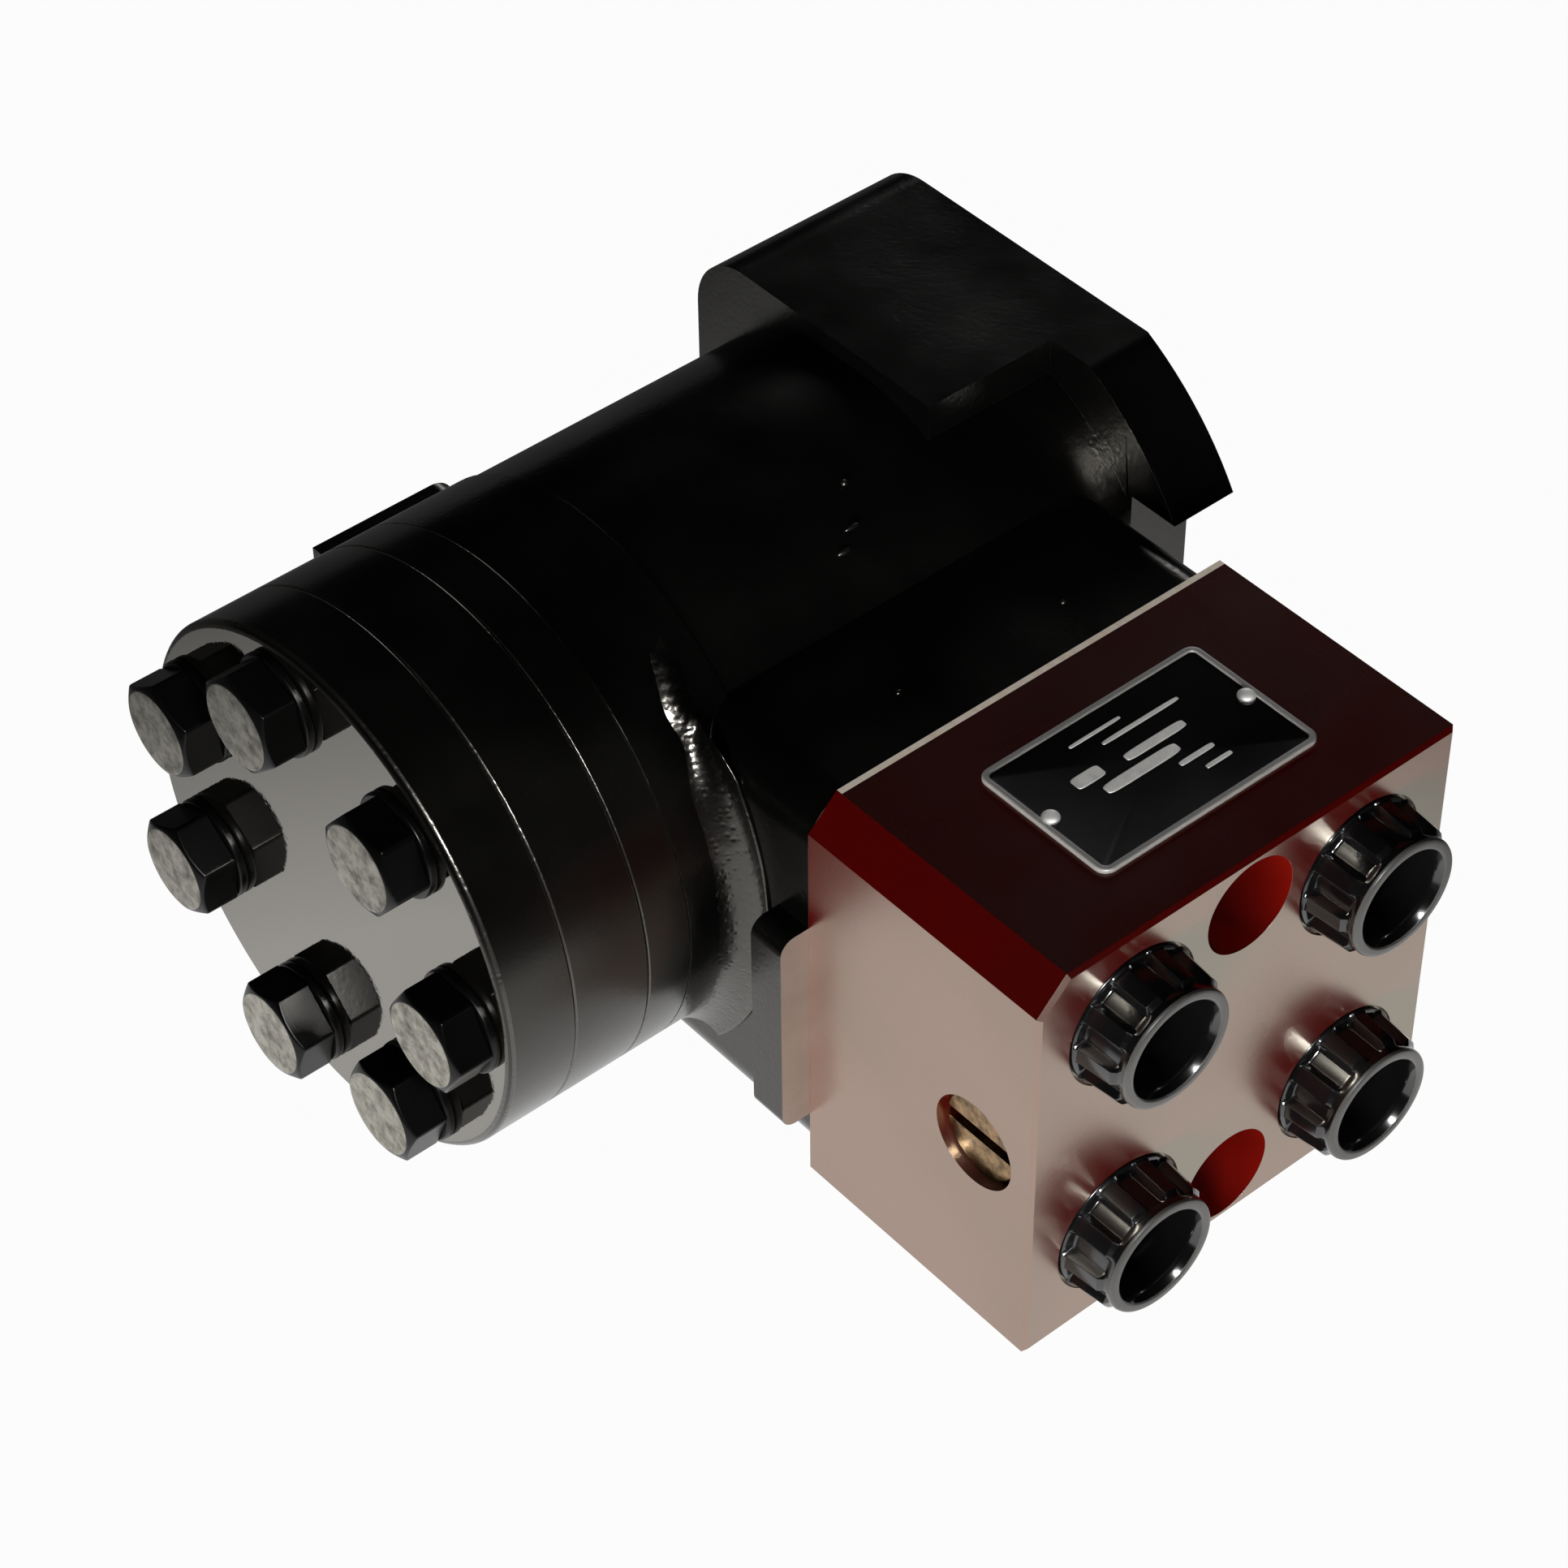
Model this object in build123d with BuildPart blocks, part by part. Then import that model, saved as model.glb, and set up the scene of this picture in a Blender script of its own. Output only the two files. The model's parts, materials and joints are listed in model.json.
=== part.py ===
"""Orbital hydrostatic steering unit with a bolted port block.

The main axis is X: the steering column bolts to the face at X = 0 and the
gear set and end cap lie towards -X.  The port block is on the -Y side and Z
is up.  All sizes are millimetres.

From the end cap inwards the unit holds a seven-lobe gear ring with a six-tooth
orbiting rotor, a spacer plate, and a cast housing with a rotary valve: a
sleeve, a spool inside it, leaf springs that centre the two, and a cardan shaft
that carries the rotor's turn back to the sleeve through a cross pin.
"""
from build123d import *
from math import atan2, cos, degrees, hypot, pi, radians, sin
import os

os.makedirs("parts", exist_ok=True)

# ---------------------------------------------------------------- clearances
valve_fit = 0.03            # radial, spool in sleeve and sleeve in housing
face_gap = 0.03             # between faces that rub or seat on each other
gear_fit = 0.05             # rotor to ring, radial
gear_side_gap = 0.05        # rotor to plate and to cap
thread_play = 0.05          # radial, between a screw and its tapped hole
bolt_play = 0.6             # radial, between a bolt and its through hole
seal_play = 0.05            # between an O-ring and its groove

# ------------------------------------------------------- body stack along X
body_radius = 53.0
housing_length = 129.5
plate_thickness = 9.5
gear_width = 16.5
cap_thickness = 14.5
edge_break = 1.0

plate_x = -housing_length
ring_x = plate_x - plate_thickness
cap_x = ring_x - gear_width
end_x = cap_x - cap_thickness

# -------------------------------------------------------------- cover bolts
bolt_count = 7
bolt_circle_radius = 40.5
bolt_start = 130.0          # angle of the first bolt, from +Y towards +Z
bolt_radius = 6.0
bolt_flats = 18.0
bolt_head = 8.0
bolt_grip = 16.0            # thread engaged in the housing
tap_extra = 4.0             # drilled past the end of a screw
washer_radius = 10.2
washer_thickness = 1.8

# ----------------------------------------------------------------- gear set
lobe_circle_radius = 30.0          # radius of the circle through the lobe centres
lobe_radius = 7.0
eccentricity = 3.0
rotor_teeth = bolt_count - 1
flank_points = 20           # points of the flank's curve on each tooth
spline_teeth = 12
spline_tip = 9.9
spline_depth = 1.6
spline_play = 0.4           # lets the cardan shaft rock inside the rotor
spline_length = 11.0
spacer_radius = 12.3
spacer_thickness = 4.0

# --------------------------------------------------------------- valve bore
bore_radius = 20.0
spool_radius = 14.0
spool_bore = 11.0
spool_slot_depth = 2.0      # metering slots along the spool
spool_slot_width = 3.0
spool_slot_length = 16.0
neck_radius = 12.5
neck_play = 0.3
neck_sink = 1.0             # the neck ends this far below the pilot's floor
shoulder_x = -25.0          # the thrust bearing seats against this shoulder
valve_end_play = 0.3
gallery_x = (-100.0, -88.0, -54.0, -43.0)
gallery_width = 5.0
gallery_depth = 3.0
feed_x = -118.0             # ring of ports that feeds the gear set
feed_radius = 2.5
feed_circle_radius = 26.0
port_hole = 1.8

pin_x = -70.0
pin_radius = 4.0
spring_x = -35.5
spring_width = 5.6
spring_slot = 5.0
leaf_thickness = 0.55
spool_turn = 8.5            # degrees, each way, between spool and sleeve

# ----------------------------------------------------------- thrust bearing
race_thickness = 1.2
needle_radius = 1.2
needle_length = 4.2
needle_count = 16
race_inner = 13.0
race_outer = 19.6

# ------------------------------------------------------------- column flange
flange_thickness = 15.0
flange_radius = 63.5
flange_half_height = 56.0
head_length = 45.0
head_side = 46.0            # flat on the +Y side
head_inner = 20.0           # how far the thick part reaches towards -Y
head_corner = 14.0
notch_half = 33.0           # recess in the rim beside the port block
notch_y = 50.0
pilot_radius = 25.0
pilot_depth = 5.0
column_circle_radius = 82.5 / 2
column_tap = 4.25
column_tap_depth = 20.0
seal_radius = 18.5
seal_depth = 9.0
seal_width = 7.0
snap_width = 1.2
snap_groove = 1.0
snap_gap = 6.0              # opening between the ring's ends
snap_rim = 1.4
column_spline_tip = 8.4
column_spline_depth = 1.4
column_spline_length = 20.0

# ------------------------------------------------------ housing cast details
collar_length = 21.0
collar_step = 0.5
pad_length = 32.5
pad_y = 57.5
pad_half = 20.0
pad_corner = 5.0
boss_corner = 9.0
boss_margin = 1.0           # the boss stops this far inside the block's edge
boss_drop = 3.0
lip_length = 6.5
lip_depth = 8.0
lip_top = 8.0
lip_bottom = -40.0

# -------------------------------------------------------------- valve block
port_face_y = -69.7         # joint between housing and block
block_length = 97.5
block_depth = 58.0
block_height = 92.0
block_x = -67.8
block_z = -8.6
block_chamfer = 6.5
block_edge = 0.8
block_bolt_margin = 11.5    # from the top and bottom faces to a bolt's axis
block_bolt_radius = 6.0
block_head_radius = 9.0
block_head_height = 12.0
block_counterbore = 10.0
block_seat_depth = 40.0
block_bolt_grip = 20.0
hex_key = 10.0

port_margin_x = 21.75       # from the block's ends to a port's axis
port_margin_z = 19.5
port_radius = 10.2          # wall of the tapped port
port_depth = 20.0
core_radius = 9.0           # core drill, which runs on below the tapped wall
core_depth = 40.0
port_mouth = 12.0
port_mouth_depth = 6.0
spot_radius = 14.5
spot_depth = 1.5
passage_radius = 5.5
passage_seal_radius = 8.2
seal_section = 1.8

# ------------------------------------------------------------ relief valve
relief_margin_y = 14.7      # from the port face to the valve's axis
relief_z = -11.0
relief_radius = 9.5
relief_recess = 2.0
relief_plug_length = 12.0
relief_bore = 6.5
relief_seat_x = -83.0
relief_seat_length = 5.0
relief_orifice = 3.0
relief_slot = 2.6
relief_slot_depth = 3.2

# ------------------------------------------------------------- shock valves
shock_y = -92.0
shock_z = 8.0               # half the distance between the two valves
shock_radius = 6.0
shock_plug_length = 8.0
shock_seat_x = -60.0
shock_seat_length = 4.0
shock_orifice = 2.2

# -------------------------------------------------------------- check valve
check_seat_length = 4.0
check_orifice = 3.2
ball_radius = 4.3
ball_lift = 2.0

# ---------------------------------------------------------------- port plugs
plug_reach = 11.0           # how far a plug stands out of the block
plug_radius = 12.2
plug_rib = 0.9
plug_ribs = 10
plug_flange = 13.8
plug_flange_thickness = 1.6
plug_hollow = 8.6
plug_rim = 2.0
plug_stub = 4.0

# ----------------------------------------------------------------- nameplate
plate_length = 51.5
plate_width = 32.0
plate_gauge = 0.8
plate_corner = 2.5
plate_y = -98.9
plate_shift = 3.3           # towards +X from the block's middle
rivet_margin = 2.6
rivet_radius = 1.7

# ------------------------------------------------------------ derived places
rest_angle = radians(bolt_start)
outward = Vector(0, cos(rest_angle), sin(rest_angle))   # towards the first bolt
sideways = Vector(0, -sin(rest_angle), cos(rest_angle))
gear_axis = outward * eccentricity                       # rotor centre at rest
neck_end_x = -pilot_depth - neck_sink
block_face_y = port_face_y - block_depth
relief_y = block_face_y + relief_margin_y
block_bolt_z = block_height / 2 - block_bolt_margin
port_dx = block_length / 2 - port_margin_x
port_dz = block_height / 2 - port_margin_z
block_left = block_x - block_length / 2
block_right = block_x + block_length / 2
block_top = block_z + block_height / 2
block_bottom = block_z - block_height / 2
valley_radius = lobe_circle_radius + 2 * eccentricity - lobe_radius + gear_fit
seal_circle_radius = (valley_radius + bolt_circle_radius - bolt_radius - bolt_play) / 2

outer_race_x = shoulder_x - face_gap - race_thickness
needle_x = outer_race_x - face_gap - needle_radius
inner_race_x = needle_x - needle_radius - face_gap - race_thickness
sleeve_end_x = inner_race_x - face_gap
sleeve_start_x = plate_x + valve_end_play
spline_x = cap_x + spacer_thickness + face_gap + spline_length / 2 + 0.4
tilt = atan2(eccentricity, pin_x - spline_x)

valve_plane = Plane(origin=(0, 0, 0), x_dir=tuple(outward), z_dir=(1, 0, 0))
rotor_plane = Plane(origin=tuple(gear_axis), x_dir=tuple(outward), z_dir=(1, 0, 0))
shaft_direction = Vector(-cos(tilt), 0, 0) + outward * sin(tilt)
shaft_side = Vector(sin(tilt), 0, 0) + outward * cos(tilt)
shaft_plane = Plane(
    origin=(pin_x, 0, 0), x_dir=tuple(shaft_side), z_dir=tuple(shaft_direction)
)
relief_plane = Plane(origin=(0, relief_y, relief_z), x_dir=(0, 1, 0), z_dir=(1, 0, 0))


def polar(radius, angle):
    """Point at a radius and an angle in degrees."""
    return (radius * cos(radians(angle)), radius * sin(radians(angle)))


def spline_outline(tip, root, widen=0.0):
    """Corners of a straight-sided spline, with each flank moved out by widen."""
    pitch = 360 / spline_teeth
    grow = degrees(widen / tip)
    corners = []
    for tooth in range(spline_teeth):
        middle = tooth * pitch
        corners.append(polar(root, middle - pitch * 0.25 - grow))
        corners.append(polar(tip, middle - pitch * 0.16 - grow))
        corners.append(polar(tip, middle + pitch * 0.16 + grow))
        corners.append(polar(root, middle + pitch * 0.25 + grow))
    return corners


def rotor_point(turn):
    """Point of the rotor's flank that touches a ring lobe.

    A lobe centre seen from the rotor runs along an epitrochoid; the flank is
    the curve that stays one lobe radius inside it.
    """
    n = rotor_teeth
    x = lobe_circle_radius * cos(turn) - eccentricity * cos((n + 1) * turn)
    y = lobe_circle_radius * sin(turn) - eccentricity * sin((n + 1) * turn)
    dx = -lobe_circle_radius * sin(turn) + eccentricity * (n + 1) * sin((n + 1) * turn)
    dy = lobe_circle_radius * cos(turn) - eccentricity * (n + 1) * cos((n + 1) * turn)
    step = (lobe_radius + gear_fit) / hypot(dx, dy)
    return (x - dy * step, y + dx * step)


# ------------------------------------------------------------------- housing
with BuildPart() as housing:
    with BuildSketch(Plane.YZ.offset(plate_x)):
        Circle(body_radius)
    extrude(amount=collar_length)
    with BuildSketch(Plane.YZ.offset(plate_x + collar_length)):
        Circle(body_radius - collar_step)
    extrude(amount=housing_length - collar_length - flange_thickness / 2)
    # thick part of the column head, on the top, bottom and +Y side
    with BuildSketch(Plane.YZ.offset(-head_length)):
        with Locations(((head_side - head_inner) / 2, 0)):
            Rectangle(head_side + head_inner, 2 * flange_half_height)
        fillet(vertices().group_by(Axis.X)[-1], head_corner)
    extrude(amount=head_length)
    # flange plate: a disc cut by flats, with a notch beside the port block
    with BuildSketch(Plane.YZ.offset(-flange_thickness)):
        Circle(flange_radius)
        with Locations(((head_side - flange_radius) / 2, 0)):
            Rectangle(head_side + flange_radius, 2 * flange_half_height, mode=Mode.INTERSECT)
        with Locations((head_side, 0)):
            Rectangle(head_inner, 2 * flange_half_height, mode=Mode.SUBTRACT)
        with Locations((-notch_y - flange_radius / 2, 0)):
            Rectangle(flange_radius, 2 * notch_half, mode=Mode.SUBTRACT)
    extrude(amount=flange_thickness)
    # boss that carries the port block
    boss_bottom = block_bottom + boss_drop
    boss_top = block_top - boss_margin
    with BuildSketch(Plane.XZ.offset(-port_face_y)):
        with Locations((block_x, (boss_bottom + boss_top) / 2)):
            RectangleRounded(block_length, boss_top - boss_bottom, boss_corner)
    extrude(amount=port_face_y + bore_radius + gallery_depth)
    with BuildSketch(Plane.XZ.offset(-port_face_y)):
        with Locations((block_left - lip_length / 2 + boss_corner / 2, (lip_top + lip_bottom) / 2)):
            RectangleRounded(lip_length + boss_corner, lip_top - lip_bottom, lip_length / 2)
    extrude(amount=-lip_depth)
    # cast pad on the back of the gear end
    with BuildSketch(Plane.XZ.offset(-pad_y)):
        with Locations((plate_x + pad_length / 2, 0)):
            Rectangle(pad_length, 2 * pad_half)
        fillet(vertices().group_by(Axis.X)[-1], pad_corner)
    extrude(amount=pad_y - bore_radius - gallery_depth)
    # valve bore with its galleries, the neck and the seal bore
    with BuildSketch(Plane.XY):
        with BuildLine():
            Polyline(
                (plate_x, 0),
                (plate_x, bore_radius),
                (shoulder_x, bore_radius),
                (shoulder_x, neck_radius + neck_play),
                (-pilot_depth - seal_depth, neck_radius + neck_play),
                (-pilot_depth - seal_depth, seal_radius),
                (-pilot_depth, seal_radius),
                (-pilot_depth, pilot_radius),
                (0, pilot_radius),
                (0, 0),
                close=True,
            )
        make_face()
    revolve(axis=Axis.X, mode=Mode.SUBTRACT)
    for x in gallery_x:
        with BuildSketch(Plane.YZ.offset(x - gallery_width / 2)):
            Circle(bore_radius + gallery_depth)
        extrude(amount=gallery_width, mode=Mode.SUBTRACT)
    snap_x = -pilot_depth - seal_depth + seal_width + 2 * face_gap
    with BuildSketch(Plane.YZ.offset(snap_x)):
        Circle(seal_radius + snap_groove)
    extrude(amount=snap_width + 2 * face_gap, mode=Mode.SUBTRACT)
    # tapped holes for the cover bolts and for the steering column
    with BuildSketch(Plane.YZ.offset(plate_x)):
        with PolarLocations(bolt_circle_radius, bolt_count, start_angle=bolt_start):
            Circle(bolt_radius + thread_play)
    extrude(amount=bolt_grip + tap_extra, mode=Mode.SUBTRACT)
    with BuildSketch(Plane.YZ):
        with PolarLocations(column_circle_radius, 4, start_angle=45):
            Circle(column_tap)
    extrude(amount=-column_tap_depth, mode=Mode.SUBTRACT)
    # tapped holes for the block bolts
    with BuildSketch(Plane.XZ.offset(-port_face_y)):
        with Locations((block_x, block_z + block_bolt_z), (block_x, block_z - block_bolt_z)):
            Circle(block_bolt_radius + thread_play)
    extrude(amount=-block_bolt_grip - tap_extra, mode=Mode.SUBTRACT)
    # oil passages from the port face to the four galleries
    port_signs = ((-1, 1), (-1, -1), (1, 1), (1, -1))
    for (side, level), x in zip(port_signs, gallery_x):
        mouth = Vector(block_x + side * port_dx, port_face_y, block_z + level * port_dz)
        inward = Vector(x, 0, 0) - mouth
        with BuildSketch(Plane(origin=tuple(mouth), z_dir=tuple(inward.normalized()))):
            Circle(passage_radius)
        extrude(amount=inward.length, mode=Mode.SUBTRACT)
        with BuildSketch(Plane.XZ.offset(-port_face_y)):
            with Locations((mouth.X, mouth.Z)):
                Circle(passage_radius)
        extrude(amount=-3 * seal_section, mode=Mode.SUBTRACT)

# ----------------------------------------------- spacer plate, ring and cap
groove_inner = seal_circle_radius - seal_section / 2
groove_outer = seal_circle_radius + seal_section / 2
groove_depth = 0.8 * seal_section
with BuildPart() as spacer_plate:
    with BuildSketch(Plane.YZ.offset(ring_x)):
        Circle(body_radius)
        Circle(spool_bore + 1, mode=Mode.SUBTRACT)
        with PolarLocations(bolt_circle_radius, bolt_count, start_angle=bolt_start):
            Circle(bolt_radius + bolt_play, mode=Mode.SUBTRACT)
        with PolarLocations(feed_circle_radius, bolt_count, start_angle=bolt_start + 180 / bolt_count):
            Circle(feed_radius, mode=Mode.SUBTRACT)
    extrude(amount=plate_thickness)
    for x, direction in ((ring_x, 1), (plate_x, -1)):
        with BuildSketch(Plane.YZ.offset(x)):
            Circle(groove_outer)
            Circle(groove_inner, mode=Mode.SUBTRACT)
        extrude(amount=direction * groove_depth, mode=Mode.SUBTRACT)

with BuildPart() as gerotor_ring:
    with BuildSketch(Plane.YZ.offset(cap_x)):
        Circle(body_radius)
        Circle(valley_radius, mode=Mode.SUBTRACT)
        with PolarLocations(lobe_circle_radius, bolt_count, start_angle=bolt_start):
            Circle(lobe_radius)
        with PolarLocations(bolt_circle_radius, bolt_count, start_angle=bolt_start):
            Circle(bolt_radius + bolt_play, mode=Mode.SUBTRACT)
    extrude(amount=gear_width)

with BuildPart() as end_cap:
    with BuildSketch(Plane.YZ.offset(end_x)):
        Circle(body_radius)
        with PolarLocations(bolt_circle_radius, bolt_count, start_angle=bolt_start):
            Circle(bolt_radius + bolt_play, mode=Mode.SUBTRACT)
    extrude(amount=cap_thickness)
    chamfer(edges().filter_by(GeomType.CIRCLE).sort_by(SortBy.RADIUS).group_by(Axis.X)[0][-1], edge_break)
    with BuildSketch(Plane.YZ.offset(cap_x)):
        Circle(groove_outer)
        Circle(groove_inner, mode=Mode.SUBTRACT)
    extrude(amount=-groove_depth, mode=Mode.SUBTRACT)

# O-rings, each squeezed to the depth of its groove
face_seals = {"housing_o_ring": plate_x, "plate_o_ring": ring_x, "cap_o_ring": cap_x}
seal_sides = {"housing_o_ring": -1, "plate_o_ring": 1, "cap_o_ring": -1}
seals = {}
for name, x in face_seals.items():
    with BuildPart() as face_seal:
        middle = x + seal_sides[name] * groove_depth / 2
        with BuildSketch(Plane.XY):
            with Locations((middle, seal_circle_radius)):
                RectangleRounded(
                    groove_depth - 2 * face_gap,
                    seal_section - 2 * seal_play,
                    groove_depth / 3,
                )
        revolve(axis=Axis.X)
    seals[name] = face_seal.part

# cover bolts, heads towards -X
with BuildPart() as cover_bolts:
    with BuildSketch(Plane.YZ.offset(end_x - washer_thickness)):
        with PolarLocations(bolt_circle_radius, bolt_count, start_angle=bolt_start):
            RegularPolygon(bolt_flats / 2, 6, major_radius=False)
    extrude(amount=-bolt_head)
    head_bevel = edges().group_by(Axis.X)[0]
    chamfer(head_bevel, 0.9)
    with BuildSketch(Plane.YZ.offset(end_x - washer_thickness)):
        with PolarLocations(bolt_circle_radius, bolt_count, start_angle=bolt_start):
            Circle(bolt_radius)
    extrude(amount=washer_thickness + plate_x - end_x + bolt_grip)

with BuildPart() as cover_washers:
    with BuildSketch(Plane.YZ.offset(end_x)):
        with PolarLocations(bolt_circle_radius, bolt_count, start_angle=bolt_start):
            Circle(washer_radius)
            Circle(bolt_radius + bolt_play / 2, mode=Mode.SUBTRACT)
    extrude(amount=-washer_thickness)

# ------------------------------------------------------------- rotor drive
with BuildPart() as rotor:
    with BuildSketch(rotor_plane.offset(cap_x + gear_side_gap)):
        with BuildLine():
            flank_step = 2 * pi / (rotor_teeth * flank_points)
            for tooth in range(rotor_teeth):
                steps = range(tooth * flank_points, (tooth + 1) * flank_points + 1)
                Spline(*[rotor_point((step - flank_points / 2) * flank_step) for step in steps])
        make_face()
        with BuildLine():
            Polyline(
                *spline_outline(spline_tip + spline_play, spline_tip - spline_depth + spline_play, spline_play),
                close=True,
            )
        make_face(mode=Mode.SUBTRACT)
    extrude(amount=gear_width - 2 * gear_side_gap)
    with BuildSketch(rotor_plane.offset(cap_x + gear_side_gap)):
        Circle(spacer_radius + valve_fit)
    extrude(amount=spacer_thickness, mode=Mode.SUBTRACT)

with BuildPart() as drive_spacer:
    with BuildSketch(rotor_plane.offset(cap_x + gear_side_gap)):
        Circle(spacer_radius)
    extrude(amount=spacer_thickness - 2 * face_gap)

shaft_head = pin_x - spline_x
pin_rock = spool_bore * sin(tilt) + 0.3      # room for the pin as the shaft tilts
with BuildPart() as cardan_shaft:
    with BuildSketch(shaft_plane):
        Circle(spline_tip - spline_depth - 1.2)
    extrude(amount=shaft_head)
    with BuildSketch(shaft_plane.offset(shaft_head - spline_length / 2)):
        with BuildLine():
            Polyline(*spline_outline(spline_tip, spline_tip - spline_depth), close=True)
        make_face()
    extrude(amount=spline_length)
    with BuildSketch(shaft_plane.offset(-1.6 * pin_radius)):
        Circle(spool_bore - 1.2)
    extrude(amount=3.6 * pin_radius)
    with BuildSketch(Plane(origin=(pin_x, 0, 0), x_dir=tuple(shaft_direction), z_dir=tuple(shaft_side))):
        with Locations((-pin_radius, 0)):
            Rectangle(4 * pin_radius + 2 * pin_rock, 2 * pin_radius + 0.2)
    extrude(amount=spool_bore, both=True, mode=Mode.SUBTRACT)

# ------------------------------------------------------------- rotary valve
with BuildPart() as valve_sleeve:
    with BuildSketch(Plane.YZ.offset(sleeve_start_x)):
        Circle(bore_radius - valve_fit)
        Circle(spool_radius, mode=Mode.SUBTRACT)
    extrude(amount=sleeve_end_x - sleeve_start_x)
    for x in (feed_x,) + gallery_x:
        for k in range(3):
            radial = Plane(origin=(x, 0, 0), x_dir=(1, 0, 0), z_dir=(0, *polar(1, 60 * k + 30)))
            with BuildSketch(radial):
                Circle(port_hole)
            extrude(amount=bore_radius + 1, both=True, mode=Mode.SUBTRACT)
    cross_plane = Plane(origin=(pin_x, 0, 0), x_dir=(1, 0, 0), z_dir=tuple(outward))
    with BuildSketch(cross_plane):
        Circle(pin_radius + 0.02)
    extrude(amount=bore_radius + 1, both=True, mode=Mode.SUBTRACT)
    slot_plane = Plane(origin=(spring_x, 0, 0), x_dir=(1, 0, 0), z_dir=tuple(outward))
    with BuildSketch(slot_plane):
        Rectangle(spring_width + 0.3, spring_slot)
    extrude(amount=bore_radius + 1, both=True, mode=Mode.SUBTRACT)

with BuildPart() as cross_pin:
    with BuildSketch(cross_plane):
        Circle(pin_radius)
    extrude(amount=bore_radius - 0.4, both=True)

pin_sweep = spool_radius * sin(radians(spool_turn)) + 0.2
with BuildPart() as valve_spool:
    with BuildSketch(Plane.YZ.offset(sleeve_start_x)):
        Circle(spool_radius - valve_fit)
    extrude(amount=sleeve_end_x - sleeve_start_x)
    with BuildSketch(Plane.YZ.offset(sleeve_end_x)):
        Circle(neck_radius)
    extrude(amount=neck_end_x - sleeve_end_x)
    socket_x = neck_end_x - column_spline_length
    with BuildSketch(Plane.YZ.offset(sleeve_start_x)):
        Circle(spool_bore)
    extrude(amount=sleeve_end_x - spool_bore / 4 - sleeve_start_x, mode=Mode.SUBTRACT)
    with BuildSketch(valve_plane.offset(sleeve_start_x)):
        with BuildLine():
            Polyline(
                *spline_outline(column_spline_tip + column_spline_depth, column_spline_tip, 0.2),
                close=True,
            )
        make_face()
    extrude(amount=neck_end_x - sleeve_start_x, mode=Mode.SUBTRACT)
    with BuildSketch(cross_plane):
        SlotOverall(2 * (pin_radius + pin_sweep), 2 * pin_radius + 0.3, rotation=90)
    extrude(amount=bore_radius, both=True, mode=Mode.SUBTRACT)
    with BuildSketch(slot_plane):
        Rectangle(spring_width + 0.3, spring_slot)
    extrude(amount=bore_radius, both=True, mode=Mode.SUBTRACT)
    for x in (gallery_x[0], gallery_x[2]):
        with BuildSketch(Plane.YZ.offset(x - port_hole)):
            with PolarLocations(spool_radius - spool_slot_depth / 10, 6, start_angle=bolt_start + 30):
                Rectangle(spool_slot_depth, spool_slot_width)
        extrude(amount=spool_slot_length, mode=Mode.SUBTRACT)

# leaf springs: two flat leaves back to back and a bowed leaf on each side
leaf_reach = bore_radius - 0.5
leaf_plane = Plane(
    origin=(spring_x - spring_width / 2, 0, 0), x_dir=tuple(outward), z_dir=(1, 0, 0)
)
with BuildPart() as flat_leaf_springs:
    with BuildSketch(leaf_plane):
        with Locations((0, leaf_thickness / 2 + face_gap / 2), (0, -leaf_thickness / 2 - face_gap / 2)):
            Rectangle(2 * leaf_reach, leaf_thickness)
    extrude(amount=spring_width)

bow_inner = leaf_thickness + 2 * face_gap
bow_outer = spring_slot / 2 - face_gap
with BuildPart() as bowed_leaf_springs:
    with BuildSketch(leaf_plane):
        with BuildLine():
            ThreePointArc(
                (-leaf_reach, bow_outer - leaf_thickness),
                (0, bow_inner),
                (leaf_reach, bow_outer - leaf_thickness),
            )
            Line((leaf_reach, bow_outer - leaf_thickness), (leaf_reach, bow_outer))
            ThreePointArc(
                (leaf_reach, bow_outer), (0, bow_inner + leaf_thickness), (-leaf_reach, bow_outer)
            )
            Line((-leaf_reach, bow_outer), (-leaf_reach, bow_outer - leaf_thickness))
        make_face()
        mirror(about=Plane.XZ)
    extrude(amount=spring_width)

# ----------------------------------------------------------- thrust bearing
with BuildPart() as inner_race:
    with BuildSketch(Plane.YZ.offset(inner_race_x)):
        Circle(race_outer)
        Circle(race_inner, mode=Mode.SUBTRACT)
    extrude(amount=race_thickness)

with BuildPart() as outer_race:
    with BuildSketch(Plane.YZ.offset(outer_race_x)):
        Circle(race_outer)
        Circle(race_inner, mode=Mode.SUBTRACT)
    extrude(amount=race_thickness)

needle_middle = (race_inner + race_outer) / 2
with BuildPart() as needle_cage:
    with BuildSketch(Plane.YZ.offset(needle_x - needle_radius * 0.6)):
        Circle(race_outer - 0.2)
        Circle(race_inner + 0.1, mode=Mode.SUBTRACT)
        with PolarLocations(needle_middle, needle_count):
            Rectangle(needle_length + 0.2, 2 * needle_radius + 0.1, mode=Mode.SUBTRACT)
    extrude(amount=needle_radius * 1.2)

with BuildPart() as needle_rollers:
    for k in range(needle_count):
        radial = Vector(0, *polar(1, 360 * k / needle_count))
        foot = radial * (needle_middle - needle_length / 2) + Vector(needle_x, 0, 0)
        with BuildSketch(Plane(origin=tuple(foot), x_dir=(1, 0, 0), z_dir=tuple(radial))):
            Circle(needle_radius)
        extrude(amount=needle_length)

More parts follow.
